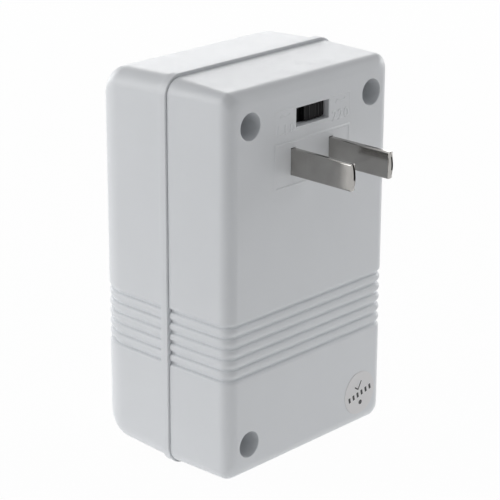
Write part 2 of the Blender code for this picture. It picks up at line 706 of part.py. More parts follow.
def outlet_hole(name, way):
    """A slot for a flat blade, a hole for a round pin and the way between them, as one opening."""
    flat_x = way * BLADE_PITCH / 2
    round_x = way * OUTLET_ROUND_PITCH / 2
    y_from = OUTLET_INNER_Y - WALL
    y_to = OUTLET_FACE_Y + WALL
    half_x = OUTLET_FLAT_WIDTH / 2
    half_z = OUTLET_FLAT_HEIGHT / 2
    hole = rod("outlet_hole_" + name, round_x, BLADE_Z, OUTLET_ROUND_RADIUS, y_from, y_to)
    low = (flat_x - half_x, y_from + CLEARANCE, BLADE_Z - half_z)
    high = (flat_x + half_x, y_to - CLEARANCE, BLADE_Z + half_z)
    slot = box("outlet_slot_" + name, low, high)
    half_z = OUTLET_WAY_HEIGHT / 2
    low = (min(flat_x, round_x), y_from + 2 * CLEARANCE, BLADE_Z - half_z)
    high = (max(flat_x, round_x), y_to - 2 * CLEARANCE, BLADE_Z + half_z)
    return join(hole, slot, box("outlet_way_" + name, low, high))


def screw(name, x, z, under_head, way, shank, length, head, head_height):
    """A pan head screw along Y: its shank runs from under its head in the direction of way."""
    rounding = head_height * HEAD_ROUNDING
    shoulder = rounding * (1 - math.cos(math.pi / 4))
    profile = [
        (0.0, head_height),
        (head - rounding, head_height),
        (head - shoulder, head_height - shoulder),
        (head, head_height - rounding),
        (head, 0.0),
        (shank, 0.0),
        (shank, shank * TIP_LENGTH - length),
        (shank * TIP_WIDTH, -length),
        (0.0, -length),
    ]
    turn = Matrix.Rotation(way * math.pi / 2, 4, "X")
    steps = CASE_SCREW_STEPS if shank > SMALL_SCREW_SHANK else SMALL_SCREW_STEPS
    obj = turned(name, profile, Matrix.Translation((x, under_head, z)) @ turn, "zinc_steel", steps)
    bottom = under_head - way * head_height * (1 - CROSS_DEPTH)
    top = under_head - way * (head_height + CLEARANCE)
    reach = head * CROSS_REACH
    width = head * CROSS_WIDTH
    for arm, (half_x, half_z) in enumerate(((reach, width), (width, reach))):
        low = (x - half_x, min(bottom, top), z - half_z)
        high = (x + half_x, max(bottom, top), z + half_z)
        cut(obj, box(f"{name}_cross_{arm}", low, high))
    return obj


def case_screws():
    under_head = PLUG_END_Y - WELL_FLOOR - CLEARANCE
    for name, (x, z) in WELL_PLACES.items():
        sizes = (CASE_SCREW_SHANK, CASE_SCREW_LENGTH, CASE_SCREW_HEAD, CASE_SCREW_HEAD_HEIGHT)
        screw("case_screw_" + name, x, z, under_head, 1, *sizes)


def small_screw(name, x, z, under_head, way):
    sizes = (SMALL_SCREW_SHANK, SMALL_SCREW_LENGTH, SMALL_SCREW_HEAD, SMALL_SCREW_HEAD_HEIGHT)
    return screw(name, x, z, under_head, way, *sizes)


def plug_blade(name, way):
    """A nickel-plated strip folded along its lower edge, with shoulders and a solder tail inside."""
    tip = PLUG_FACE_Y - BLADE_LENGTH
    half = BLADE_HEIGHT / 2
    shoulder = BLADE_SHOULDER_HEIGHT / 2
    tail = BLADE_TAIL_HEIGHT / 2
    upper = []
    for step in range(1, BLADE_CROWN_STEPS + 1):
        share = step / BLADE_CROWN_STEPS
        upper.append((tip + BLADE_CROWN * share ** 2, half * share))
    upper += [
        (BLADE_SHOULDER_Y, half),
        (BLADE_SHOULDER_Y, shoulder),
        (BLADE_SHOULDER_Y + BLADE_SHOULDER, shoulder),
        (BLADE_SHOULDER_Y + BLADE_SHOULDER, tail),
        (BLADE_TAIL_Y, tail),
    ]
    points = [(tip, 0.0)] + upper + [(y, -z) for y, z in reversed(upper)]
    x = way * BLADE_PITCH / 2
    place = Matrix.Translation((x, 0.0, BLADE_Z)) @ FACING_X
    blade = plate("plug_blade_" + name, points, BLADE_THICKNESS, place, "nickel")
    chamfer_tip(blade.data, tip)
    slit_low = (x - BLADE_SLIT / 2, tip - WALL, BLADE_Z - half + BLADE_FOLD)
    slit_high = (x + BLADE_SLIT / 2, BLADE_SHOULDER_Y - CLEARANCE, BLADE_Z + half + WALL)
    cut(blade, box("blade_slit_" + name, slit_low, slit_high))
    eye = rod("blade_eye_" + name, 0.0, 0.0, BLADE_EYE_RADIUS, -WALL, WALL, sides=12)
    middle = Matrix.Translation((x, BLADE_TAIL_Y - BLADE_TAIL_HEIGHT / 2, BLADE_Z))
    eye.matrix_world = middle @ Matrix.Rotation(math.pi / 2, 4, "Y")
    return cut(blade, eye)


def chamfer_tip(mesh, tip):
    """Breaks the edges of both flat sides round the tip; the outline lies in the mesh's own XY plane."""
    bm = bmesh.new()
    bm.from_mesh(mesh)
    bmesh.ops.dissolve_limit(bm, angle_limit=0.01, verts=bm.verts, edges=bm.edges)
    chosen = []
    for edge in bm.edges:
        first, second = edge.verts
        near_tip = max(first.co.x, second.co.x) < tip + BLADE_CROWN + MERGE_DISTANCE
        if near_tip and abs(first.co.z - second.co.z) < MERGE_DISTANCE:
            chosen.append(edge)
    bmesh.ops.bevel(bm, geom=chosen, offset=BLADE_TIP_CHAMFER, segments=1, profile=0.5, affect="EDGES")
    bmesh.ops.recalc_face_normals(bm, faces=bm.faces)
    bm.to_mesh(mesh)
    bm.free()


def blade_retainer():
    """Phenolic plate that holds the blades' shoulders against the face."""
    half_x = BLADE_RETAINER_SCREW_X + SMALL_SCREW_HEAD + CLEARANCE
    half_z = RETAINER_HEIGHT / 2
    radius = SMALL_SCREW_SHANK + CLEARANCE
    y_from = BLADE_RETAINER_Y - WALL
    y_to = BLADE_RETAINER_Y + RETAINER_THICKNESS
    low = (-half_x, BLADE_RETAINER_Y, BLADE_Z - half_z)
    retainer = box("blade_retainer", low, (half_x, y_to, BLADE_Z + half_z), "phenolic")
    for name, way in SIDES.items():
        x = way * BLADE_PITCH / 2
        slot_x = BLADE_THICKNESS / 2 + CLEARANCE
        slot_z = BLADE_TAIL_HEIGHT / 2 + CLEARANCE
        low = (x - slot_x, y_from, BLADE_Z - slot_z)
        cut(retainer, box("retainer_slot_" + name, low, (x + slot_x, y_to + WALL, BLADE_Z + slot_z)))
        x = way * BLADE_RETAINER_SCREW_X
        cut(retainer, rod("retainer_hole_" + name, x, BLADE_Z, radius, y_from, y_to + WALL, sides=12))
        small_screw("blade_retainer_screw_" + name, x, BLADE_Z, BLADE_RETAINER_HEAD_Y, -1)
    return retainer


def selector_frame():
    """Folded steel frame: a slotted plate with two ears and a leg hooked under each end of the base."""
    half_z = SELECTOR_HEIGHT / 2
    ear_x = SELECTOR_SCREW_X + SELECTOR_EAR_MARGIN
    y_from = SELECTOR_FRAME_Y - WALL
    y_to = SELECTOR_FRAME_Y + SELECTOR_SHEET
    outline = rounded(ear_x, half_z, SELECTOR_END_RADIUS, steps=3)
    middle_y = SELECTOR_FRAME_Y + SELECTOR_SHEET / 2
    place = Matrix.Translation((0.0, middle_y, SELECTOR_Z)) @ FACING_Y
    frame = plate("selector_frame", outline, SELECTOR_SHEET, place, "zinc_steel")
    low = (-WINDOW_WIDTH / 2, y_from, SELECTOR_Z - WINDOW_HEIGHT / 2)
    cut(frame, box("frame_slot", low, (WINDOW_WIDTH / 2, y_to + WALL, SELECTOR_Z + WINDOW_HEIGHT / 2)))
    leg_z = SELECTOR_LEG_WIDTH / 2
    hook_z = SELECTOR_HOOK_WIDTH / 2
    leg_x = SELECTOR_BASE_WIDTH / 2 + CLEARANCE
    hook_y = SELECTOR_BASE_Y + SELECTOR_BASE_DEPTH + CLEARANCE
    radius = SMALL_SCREW_SHANK + CLEARANCE
    for name, way in SIDES.items():
        inner = way * leg_x
        outer = way * (leg_x + SELECTOR_SHEET)
        low = (min(inner, outer), middle_y, SELECTOR_Z - leg_z)
        leg = box("frame_leg_" + name, low, (max(inner, outer), hook_y + SELECTOR_SHEET, SELECTOR_Z + leg_z))
        inner = way * (leg_x - SELECTOR_SHEET)
        outer = way * (leg_x + SELECTOR_SHEET / 2)
        low = (min(inner, outer), hook_y, SELECTOR_Z - hook_z)
        high = (max(inner, outer), hook_y + SELECTOR_SHEET - CLEARANCE / 2, SELECTOR_Z + hook_z)
        join(frame, leg, box("frame_hook_" + name, low, high))
        x = way * SELECTOR_SCREW_X
        cut(frame, rod("frame_hole_" + name, x, SELECTOR_Z, radius, y_from, y_to + WALL, sides=12))
        small_screw("selector_screw_" + name, x, SELECTOR_Z, SELECTOR_HEAD_Y, -1)
    return frame


def selector_base():
    """Phenolic box under the frame, with a hole in its floor for each terminal."""
    half_x = SELECTOR_BASE_WIDTH / 2
    half_z = SELECTOR_HEIGHT / 2
    y_to = SELECTOR_BASE_Y + SELECTOR_BASE_DEPTH
    low = (-half_x, SELECTOR_BASE_Y, SELECTOR_Z - half_z)
    base = box("selector_base", low, (half_x, y_to, SELECTOR_Z + half_z), "phenolic")
    half_x -= SELECTOR_BASE_WALL
    half_z -= SELECTOR_BASE_WALL
    low = (-half_x, SELECTOR_BASE_Y - WALL, SELECTOR_Z - half_z)
    cut(base, box("base_cavity", low, (half_x, SELECTOR_FLOOR_Y, SELECTOR_Z + half_z)))
    for name, x, z in terminal_places():
        half_x = TERMINAL_THICKNESS / 2 + CLEARANCE
        half_z = TERMINAL_WIDTH / 2 + CLEARANCE / 2
        low = (x - half_x, SELECTOR_FLOOR_Y - CLEARANCE, z - half_z)
        cut(base, box("base_hole_" + name, low, (x + half_x, y_to + WALL, z + half_z)))
    return base


def terminal_places():
    places = []
    for row, way_z in (("upper", 1), ("lower", -1)):
        for number in range(3):
            x = (number - 1) * WINDOW_TRAVEL
            places.append((f"{row}_{number + 1}", x, SELECTOR_Z + way_z * TERMINAL_ROW))
    return places


def selector_terminals():
    """Six flat pins: a wide head on the floor of the base and a tail out of its back."""
    y_to = SELECTOR_BASE_Y + SELECTOR_BASE_DEPTH + TERMINAL_TAIL
    head_top = SELECTOR_FLOOR_Y - CLEARANCE - TERMINAL_HEAD
    half = TERMINAL_THICKNESS / 2
    head = WINDOW_TRAVEL / 2 - CLEARANCE
    points = [
        (-head, head_top),
        (head, head_top),
        (head, head_top + TERMINAL_HEAD),
        (half, head_top + TERMINAL_HEAD),
        (half, y_to),
        (-half, y_to),
        (-half, head_top + TERMINAL_HEAD),
        (-head, head_top + TERMINAL_HEAD),
    ]
    width = TERMINAL_WIDTH - CLEARANCE
    for name, x, z in terminal_places():
        plate("selector_terminal_" + name, points, width, Matrix.Translation((x, 0.0, z)), "brass")


def selector_knob(rest_x):
    """Ribbed slider: it stands below the face in the window and its plate runs under the frame."""
    top = PLUG_FACE_Y + KNOB_DEPTH_BELOW_FACE
    half_x = KNOB_WIDTH / 2
    half_z = WINDOW_HEIGHT / 2 - CLEARANCE
    plate_top = SELECTOR_BASE_Y + CLEARANCE
    plate_bottom = plate_top + KNOB_PLATE
    low = (rest_x - half_x, top, SELECTOR_Z - half_z)
    high = (rest_x + half_x, plate_bottom - CLEARANCE, SELECTOR_Z + half_z)
    knob = box("selector_knob", low, high, "black_nylon")
    plate_x = KNOB_PLATE_WIDTH / 2
    plate_z = SELECTOR_HEIGHT / 2 - SELECTOR_BASE_WALL - CLEARANCE
    low = (rest_x - plate_x, plate_top, SELECTOR_Z - plate_z)
    join(knob, box("knob_plate", low, (rest_x + plate_x, plate_bottom, SELECTOR_Z + plate_z)))
    pitch = KNOB_WIDTH / KNOB_RIB_COUNT
    half_z += CLEARANCE
    for number in range(1, KNOB_RIB_COUNT):
        x = rest_x - half_x + number * pitch
        low = (x - pitch / 4, top - WALL, SELECTOR_Z - half_z)
        high = (x + pitch / 4, top + KNOB_RIB_DEPTH, SELECTOR_Z + half_z)
        cut(knob, box(f"knob_groove_{number}", low, high))
    return knob


def selector_bridges(rest_x):
    """Two bowed springs that ride under the knob, each joining two neighbouring terminals."""
    top = SELECTOR_BASE_Y + CLEARANCE + KNOB_PLATE + CLEARANCE
    bottom = SELECTOR_FLOOR_Y - 2 * CLEARANCE - TERMINAL_HEAD - BRIDGE_SHEET
    reach = WINDOW_TRAVEL / 2 + CLEARANCE
    upper = []
    for step in range(BRIDGE_STEPS + 1):
        share = step / BRIDGE_STEPS
        rise = 0.5 - 0.5 * math.cos(2 * math.pi * share)
        upper.append((reach * (2 * share - 1), bottom + (top - bottom) * rise))
    lower = [(x, y + BRIDGE_SHEET) for x, y in reversed(upper)]
    for row, way_z in (("upper", 1), ("lower", -1)):
        place = Matrix.Translation((rest_x, 0.0, SELECTOR_Z + way_z * TERMINAL_ROW))
        plate("selector_bridge_" + row, upper + lower, BRIDGE_WIDTH, place, "brass")


def outlet_contact(name, way):
    """Bent brass channel that grips a flat blade or a round pin, with a tail through the retainer."""
    inner = CONTACT_INNER_X
    outer = CONTACT_OUTER_X
    y_to = OUTLET_INNER_Y - CLEARANCE
    points = [
        (inner - CONTACT_SHEET, CONTACT_Y),
        (outer + CONTACT_SHEET, CONTACT_Y),
        (outer + CONTACT_SHEET, y_to),
        (outer, y_to),
        (outer, CONTACT_Y + CONTACT_SHEET),
        (inner, CONTACT_Y + CONTACT_SHEET),
        (inner, y_to),
        (inner - CONTACT_SHEET, y_to),
    ]
    points = [(way * x, y) for x, y in points]
    place = Matrix.Translation((0.0, 0.0, BLADE_Z))
    contact = plate("outlet_contact_" + name, points, CONTACT_HEIGHT, place, "brass")
    x = way * CONTACT_TAIL_X
    half_z = CONTACT_TAIL_HEIGHT / 2
    low = (x - CONTACT_SHEET / 2, OUTLET_RETAINER_Y - CONTACT_TAIL, BLADE_Z - half_z)
    high = (x + CONTACT_SHEET / 2, CONTACT_Y + CONTACT_SHEET / 2, BLADE_Z + half_z)
    return join(contact, box("contact_tail_" + name, low, high))


def outlet_retainer():
    """Phenolic plate behind the contacts, on two bosses of the outlet half."""
    half_x = OUTLET_RETAINER_SCREW_X + SMALL_SCREW_HEAD + CLEARANCE
    half_z = RETAINER_HEIGHT / 2
    radius = SMALL_SCREW_SHANK + CLEARANCE
    y_from = OUTLET_RETAINER_Y - WALL
    y_to = OUTLET_RETAINER_Y + RETAINER_THICKNESS
    low = (-half_x, OUTLET_RETAINER_Y, BLADE_Z - half_z)
    retainer = box("outlet_retainer", low, (half_x, y_to, BLADE_Z + half_z), "phenolic")
    for name, way in SIDES.items():
        x = way * CONTACT_TAIL_X
        slot_x = CONTACT_SHEET / 2 + CLEARANCE
        slot_z = CONTACT_TAIL_HEIGHT / 2 + CLEARANCE
        low = (x - slot_x, y_from, BLADE_Z - slot_z)
        cut(retainer, box("contact_slot_" + name, low, (x + slot_x, y_to + WALL, BLADE_Z + slot_z)))
        x = way * OUTLET_RETAINER_SCREW_X
        cut(retainer, rod("contact_hole_" + name, x, BLADE_Z, radius, y_from, y_to + WALL, sides=12))
        small_screw("outlet_retainer_screw_" + name, x, BLADE_Z, OUTLET_RETAINER_HEAD_Y, 1)
    return retainer


def transformer():
    """E and I stacks round a bobbin with two windings and a wrap of tape."""
    half = CORE_WIDTH / 2
    window_low = CORE_LIMB
    window_high = CORE_LIMB + CORE_WINDOW_HEIGHT
    centre = CORE_LIMB
    right = [
        (half, 0.0),
        (half, window_high),
        (half - CORE_LIMB, window_high),
        (half - CORE_LIMB, window_low),
        (centre, window_low),
        (centre, window_high),
    ]
    points = right + [(-x, z) for x, z in reversed(right)]
    place = Matrix.Translation((0.0, CORE_Y, CORE_BOTTOM_Z)) @ FACING_Y
    e_stack = plate("core_e_stack", points, CORE_STACK, place, "silicon_steel")
    y_from = CORE_Y - CORE_STACK / 2
    y_to = CORE_Y + CORE_STACK / 2
    low_z = CORE_BOTTOM_Z + window_high + CLEARANCE
    i_stack = box("core_i_stack", (-half, y_from, low_z), (half, y_to, CORE_TOP_Z), "silicon_steel")
    tie = CORE_TIE_GROOVE / 2
    for name, way in SIDES.items():
        low = (way * half - tie, y_from - WALL, CORE_BOTTOM_Z + window_high / 2 - tie)
        high = (way * half + tie, y_to + WALL, CORE_BOTTOM_Z + window_high / 2 + tie)
        cut(e_stack, box("core_groove_" + name, low, high))
    coil()
    return i_stack


def column(name, half_x, half_y, corner, z_from, z_to, material=None):
    """A block with round corners, along Z round the middle limb of the core."""
    place = Matrix.Translation((0.0, CORE_Y, (z_from + z_to) / 2))
    return plate(name, rounded(half_x, half_y, corner, steps=3), z_to - z_from, place, material)


def coil():
    """Bobbin, two windings and a wrap of tape, each round the one before."""
    low = CORE_BOTTOM_Z + CORE_LIMB + CLEARANCE
    high = low + CORE_WINDOW_HEIGHT - CLEARANCE
    half_x = CORE_LIMB + CLEARANCE
    half_y = CORE_STACK / 2 + CLEARANCE
    corner = CLEARANCE
    bore = column("bobbin_bore", half_x, half_y, corner, low - WALL, high + WALL)
    half_x += BOBBIN_WALL
    half_y += BOBBIN_WALL
    corner += BOBBIN_WALL
    half_flange = BOBBIN_FLANGE / 2
    bobbin = column("bobbin", half_x, half_y, corner, low + half_flange, high - half_flange, "nylon_natural")
    flange_x = half_x + COIL_REACH
    flange_y = half_y + COIL_REACH
    for name, z in (("lower", low), ("upper", high - BOBBIN_FLANGE)):
        flange = column("flange_" + name, flange_x, flange_y, corner, z, z + BOBBIN_FLANGE)
        join(bobbin, flange)
    cut(bobbin, bore)
    low += BOBBIN_FLANGE + CLEARANCE
    high -= BOBBIN_FLANGE + CLEARANCE
    for name, build, material in (
        ("primary_winding", PRIMARY_BUILD, "copper_enamel"),
        ("secondary_winding", SECONDARY_BUILD, "copper_enamel"),
        ("winding_tape", TAPE_BUILD, "polyester_tape"),
    ):
        half_x += CLEARANCE
        half_y += CLEARANCE
        corner += CLEARANCE
        bore = column(name + "_bore", half_x, half_y, corner, low - WALL, high + WALL)
        half_x += build
        half_y += build
        corner += build
        cut(column(name, half_x, half_y, corner, low, high, material), bore)


def thermal_fuse():
    """Small cylinder lying on the upper flange of the bobbin, beside the core."""
    z = CORE_BOTTOM_Z + CORE_LIMB + CORE_WINDOW_HEIGHT + CLEARANCE + FUSE_RADIUS
    y = CORE_Y - CORE_STACK / 2 - CLEARANCE - FUSE_RADIUS
    half = FUSE_LENGTH / 2
    fuse = rod("thermal_fuse", 0.0, 0.0, FUSE_RADIUS, -half, half, "fuse_body", sides=16)
    centre = Vector((0.0, y, z))
    fuse.matrix_world = Matrix.Translation(centre) @ Matrix.Rotation(math.pi / 2, 4, "Y")
    return centre


def sticker():
    y_to = PLUG_FACE_Y - STICKER_GAP
    y_from = y_to - STICKER_THICKNESS
    return rod("inspection_sticker", STICKER_X, STICKER_Z, STICKER_RADIUS, y_from, y_to, "paper", sides=48)


def route(start, end, offsets):
    """Points of a lead: its ends, and between them shares of the way with an offset of their own."""
    points = [start]
    for share, offset in offsets:
        points.append(start.lerp(end, share) + Vector(offset) * WIRE_BEND)
    points.append(end)
    return points


def wiring(fuse):
    """Leads between the blades, the selector, the windings and the outlet contacts."""
    tail_end = SELECTOR_BASE_Y + SELECTOR_BASE_DEPTH + TERMINAL_TAIL + CLEARANCE
    pin = {name: Vector((x, tail_end, z)) for name, x, z in terminal_places()}
    contact_y = OUTLET_RETAINER_Y - CONTACT_TAIL - CLEARANCE
    blade = {}
    contact = {}
    fuse_end = {}
    for name, way in SIDES.items():
        blade[name] = Vector((way * BLADE_PITCH / 2, BLADE_TAIL_Y + CLEARANCE, BLADE_Z))
        contact[name] = Vector((way * CONTACT_TAIL_X, contact_y, BLADE_Z))
        fuse_end[name] = fuse + Vector((way * (FUSE_LENGTH / 2 + CLEARANCE), 0.0, 0.0))
    flange_z = CORE_BOTTOM_Z + CORE_LIMB + CORE_WINDOW_HEIGHT + CLEARANCE
    lead_x = CORE_WIDTH / 4
    wire("wire_live_in", route(blade["left"], pin["lower_2"], [
        (0.0, (0.0, 1.0, 0.5)),
        (0.5, (0.0, 1.5, 0.0)),
        (1.0, (0.0, 1.0, -0.2)),
    ]), "wire_black")
    wire("wire_live_out", route(contact["left"], pin["upper_2"], [
        (0.0, (0.0, -1.0, 0.5)),
        (0.5, (-0.8, 0.6, 0.2)),
        (1.0, (0.0, 1.2, 0.2)),
    ]), "wire_black")
    for name, way, end, colour in (
        ("wire_tap_low", -1, pin["upper_1"], "wire_red"),
        ("wire_tap_high", 1, pin["upper_3"], "wire_yellow"),
    ):
        start = Vector((way * lead_x, fuse.y, flange_z))
        wire(name, route(start, end, [
            (0.0, (0.0, 0.0, 1.0)),
            (0.4, (way * 1.4, -0.6, 0.0)),
            (0.8, (way * 2.6, 0.6, -0.4)),
            (1.0, (way * 1.4, 0.8, 0.0)),
            (1.0, (0.0, 1.1, 0.2)),
        ]), colour)
    wire("wire_neutral_in", route(blade["right"], fuse_end["right"], [
        (0.0, (0.0, 1.0, -0.4)),
        (0.4, (0.4, 0.8, 0.0)),
        (0.9, (0.9, 0.0, 0.6)),
        (1.0, (0.9, 0.0, 0.3)),
    ]), "wire_white")
    common = Vector((-FUSE_RADIUS, fuse.y - 2 * FUSE_RADIUS, flange_z))
    wire("wire_neutral_out", route(contact["right"], common, [
        (0.0, (0.0, -1.0, -0.5)),
        (0.3, (0.0, -0.5, 0.0)),
        (0.6, (0.0, -0.2, 0.0)),
        (1.0, (0.0, 0.0, 1.6)),
    ]), "wire_white")
    lead = Vector((fuse_end["left"].x - WIRE_BEND, fuse.y, flange_z))
    wire("fuse_lead", route(fuse_end["left"], lead, [
        (0.0, (-0.6, 0.0, 0.1)),
        (1.0, (0.0, 0.0, 0.4)),
    ]), "wire_red")
    jumpers(pin)


def jumpers(pin):
    """Bare crossed links between the outer terminals of the two rows, one low and near, one high and far."""
    side = Vector((TERMINAL_THICKNESS / 2 + CLEARANCE, 0.0, 0.0))
    hook_x = SELECTOR_BASE_WIDTH / 2 + CLEARANCE - SELECTOR_SHEET
    room = hook_x - WINDOW_TRAVEL - side.x - JUMPER_RADIUS - CLEARANCE
    down = Vector((0.0, 0.0, TERMINAL_ROW + WIRE_BEND / 3))
    for name, way_z, first, last, depth, bow in (
        ("jumper_low", -1, "upper_1", "lower_3", 0.3, 0.4),
        ("jumper_high", 1, "lower_1", "upper_3", 0.75, 0.73),
    ):
        back = Vector((0.0, TERMINAL_TAIL * depth, 0.0))
        start = pin[first] - side - back
        end = pin[last] + side - back
        out = Vector((room * bow, 0.0, 0.0))
        turn = out * 0.5
        below = way_z * down
        points = [
            start,
            start - out + below * 0.2,
            Vector((start.x - out.x, start.y, end.z)) + below * 0.5,
            Vector((start.x + turn.x, start.y, end.z)) + below,
            Vector((end.x - turn.x, end.y, end.z)) + below,
            end + out + below * 0.3,
            end,
        ]
        wire(name, points, "copper_bare", JUMPER_RADIUS)


def build():
    plug_shell()
    outlet_shell()
    case_screws()
    sticker()
    for name, way in SIDES.items():
        plug_blade(name, way)
        outlet_contact(name, way)
    blade_retainer()
    selector_frame()
    selector_base()
    selector_terminals()
    rest_x = WINDOW_TRAVEL / 2
    selector_knob(rest_x)
    selector_bridges(rest_x)
    outlet_retainer()
    transformer()
    wiring(thermal_fuse())


build()
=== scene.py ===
import math

import bmesh
import bpy
from mathutils import Matrix, Vector


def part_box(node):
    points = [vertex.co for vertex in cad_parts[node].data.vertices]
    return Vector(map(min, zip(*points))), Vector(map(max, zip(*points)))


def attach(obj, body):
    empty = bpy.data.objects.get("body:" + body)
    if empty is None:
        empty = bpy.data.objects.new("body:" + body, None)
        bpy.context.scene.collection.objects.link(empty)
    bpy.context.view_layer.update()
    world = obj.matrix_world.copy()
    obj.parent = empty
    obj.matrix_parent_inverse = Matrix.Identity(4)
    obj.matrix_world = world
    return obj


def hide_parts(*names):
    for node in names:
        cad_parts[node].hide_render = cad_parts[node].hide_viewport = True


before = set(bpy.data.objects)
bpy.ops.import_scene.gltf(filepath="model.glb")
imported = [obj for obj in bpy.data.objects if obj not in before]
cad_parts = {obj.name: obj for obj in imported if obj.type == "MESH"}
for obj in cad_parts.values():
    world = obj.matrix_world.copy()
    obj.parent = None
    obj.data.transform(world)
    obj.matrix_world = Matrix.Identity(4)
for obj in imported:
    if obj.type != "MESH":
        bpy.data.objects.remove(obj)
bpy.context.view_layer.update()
print("frame loaded with", len(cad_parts), "nodes")

# The photograph's view: lens and place come from a fit to the housing's outline
photoView = {
    "azimuth": -46.834,
    "elevation": 19.648,
    "roll": 0.239,
    "distance": 0.45781,
    "lens": 140.947,
    "sensor": 36.0,
    "clipStart": 0.01,
    "target": (-0.000693, -0.0011, 0.046661),
}


def addCamera(view):
    turn = math.radians(view["azimuth"])
    rise = math.radians(view["elevation"])
    roll = math.radians(view["roll"])
    back = Vector((math.sin(turn) * math.cos(rise), -math.cos(turn) * math.cos(rise), math.sin(rise)))
    level = Vector((0.0, 0.0, 1.0)).cross(back).normalized()
    upright = back.cross(level)
    across = level * math.cos(roll) + upright * math.sin(roll)
    up = upright * math.cos(roll) - level * math.sin(roll)
    lensData = bpy.data.cameras.new("photoCamera")
    lensData.sensor_width = view["sensor"]
    lensData.lens = view["lens"]
    lensData.clip_start = view["clipStart"]
    camera = bpy.data.objects.new("photoCamera", lensData)
    bpy.context.scene.collection.objects.link(camera)
    place = Matrix((across, up, back)).transposed().to_4x4()
    place.translation = Vector(view["target"]) + view["distance"] * back
    camera.matrix_world = place
    bpy.context.scene.camera = camera


addCamera(photoView)
bpy.context.scene.view_settings.view_transform = "Standard"
print("camera placed")

# Small helpers for modelling by hand in edit mode
overcut = 0.001  # a cutting tool runs on by this, or twice this, past what it cuts
samePlace = 0.00002  # lengths closer than this count as equal
sharpFold = 1.0  # edges folded by more than this, in radians, are corners
facing = 0.9  # a face looks along an axis when this much of its normal lies that way


def clearSelection():
    if bpy.context.object and bpy.context.object.mode != "OBJECT":
        bpy.ops.object.mode_set(mode="OBJECT")
    bpy.ops.object.select_all(action="DESELECT")


def settle(name):
    piece = bpy.context.object
    piece.name = name
    piece.data.name = name
    bpy.ops.object.transform_apply(location=True, rotation=True, scale=True)
    return piece


def block(name, low, high):
    clearSelection()
    low = Vector(low)
    high = Vector(high)
    bpy.ops.mesh.primitive_cube_add(size=1.0, location=(low + high) / 2)
    bpy.context.object.scale = high - low
    return settle(name)


def barrel(name, x, z, radius, low, high, sides=64):
    clearSelection()
    bpy.ops.mesh.primitive_cylinder_add(
        vertices=sides,
        radius=radius,
        depth=high - low,
        location=(x, (low + high) / 2, z),
        rotation=(math.pi / 2, 0.0, 0.0),
    )
    return settle(name)


def choose(piece):
    clearSelection()
    piece.select_set(True)
    bpy.context.view_layer.objects.active = piece


def edit(piece):
    choose(piece)
    bpy.ops.object.mode_set(mode="EDIT")


def endEdit():
    bpy.ops.object.mode_set(mode="OBJECT")


def pick(piece, kind, test):
    bpy.context.tool_settings.mesh_select_mode = (kind == "VERT", kind == "EDGE", kind == "FACE")
    bpy.ops.mesh.select_all(action="DESELECT")
    mesh = bmesh.from_edit_mesh(piece.data)
    items = {"VERT": mesh.verts, "EDGE": mesh.edges, "FACE": mesh.faces}[kind]
    for item in items:
        if test(item):
            item.select_set(True)
    mesh.select_flush_mode()
    bmesh.update_edit_mesh(piece.data)


def near(first, second, gap=samePlace):
    return abs(first - second) < gap


def extrudeBy(offset):
    bpy.ops.mesh.extrude_region_move(TRANSFORM_OT_translate={"value": offset})


def sliceAt(axis, level):
    # Adds a ring of edges where the plane meets the piece, and takes nothing away
    place = [level if letter == axis else 0.0 for letter in "XYZ"]
    across = [1.0 if letter == axis else 0.0 for letter in "XYZ"]
    bpy.ops.mesh.select_all(action="SELECT")
    bpy.ops.mesh.bisect(plane_co=place, plane_no=across)


def roundEdges(offset, segments):
    bpy.ops.mesh.bevel(offset=offset, segments=segments, profile=0.5, affect="EDGES")


def faceOutwards():
    bpy.ops.mesh.select_all(action="SELECT")
    bpy.ops.mesh.normals_make_consistent(inside=False)


def applyModifier(piece, kind, **settings):
    choose(piece)
    modifier = piece.modifiers.new(kind.lower(), kind)
    for key, value in settings.items():
        setattr(modifier, key, value)
    bpy.ops.object.modifier_apply(modifier=modifier.name)


def combine(piece, tool, operation="DIFFERENCE"):
    applyModifier(piece, "BOOLEAN", object=tool, operation=operation, solver="EXACT")
    bpy.data.objects.remove(tool, do_unlink=True)


def smoothOff(piece, angle=32.0):
    choose(piece)
    bpy.ops.object.shade_smooth_by_angle(angle=math.radians(angle))
    applyModifier(piece, "WEIGHTED_NORMAL", mode="FACE_AREA", weight=100, keep_sharp=True)


def finishPiece(piece, material, body="housing", stands=()):
    piece.data.materials.clear()
    piece.data.materials.append(material)
    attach(piece, body)
    if stands:
        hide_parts(*stands)


# Lamps: each is a soft panel that looks at the lower middle of the housing. The two table lights lie on the
# floor and face up: they are the light that a white table throws back at the housing
studio = {
    "ambient": (0.155, 0.157, 0.16),
    "aim": (0.0, 0.0, 0.035),
    "panels": {
        "backLeftPanel": {"place": (-0.65, 0.60, 0.40), "size": 0.5, "power": 3.0},
        "backRightPanel": {"place": (0.65, 0.60, 0.40), "size": 0.5, "power": 2.0},
        "backLowPanel": {"place": (0.10, 0.90, 0.14), "size": 0.4, "power": 1.6},
        "rightPanel": {"place": (0.90, -0.15, 0.30), "size": 0.5, "power": 2.9},
        "leftPanel": {"place": (-0.90, 0.05, 0.30), "size": 0.5, "power": 0.68},
        "topPanel": {"place": (0.10, -0.45, 0.90), "size": 0.8, "power": 0.9},
        "frontBounce": {"place": (0.04, -0.17, 0.006), "size": 0.12, "power": 0.03},
        "tableNear": {"place": (0.0, -0.01, 0.001), "size": 0.16, "power": 0.0152, "aim": (0.0, -0.01, 1.0)},
        "tableWide": {"place": (0.0, -0.01, 0.001), "size": 0.5, "power": 0.06, "aim": (0.0, -0.01, 1.0)},
    },
    "floorSize": 6.0,
    "floorColour": (0.92, 0.92, 0.92),
    "floorRoughness": 0.9,
    "floorGlow": 0.97,
}


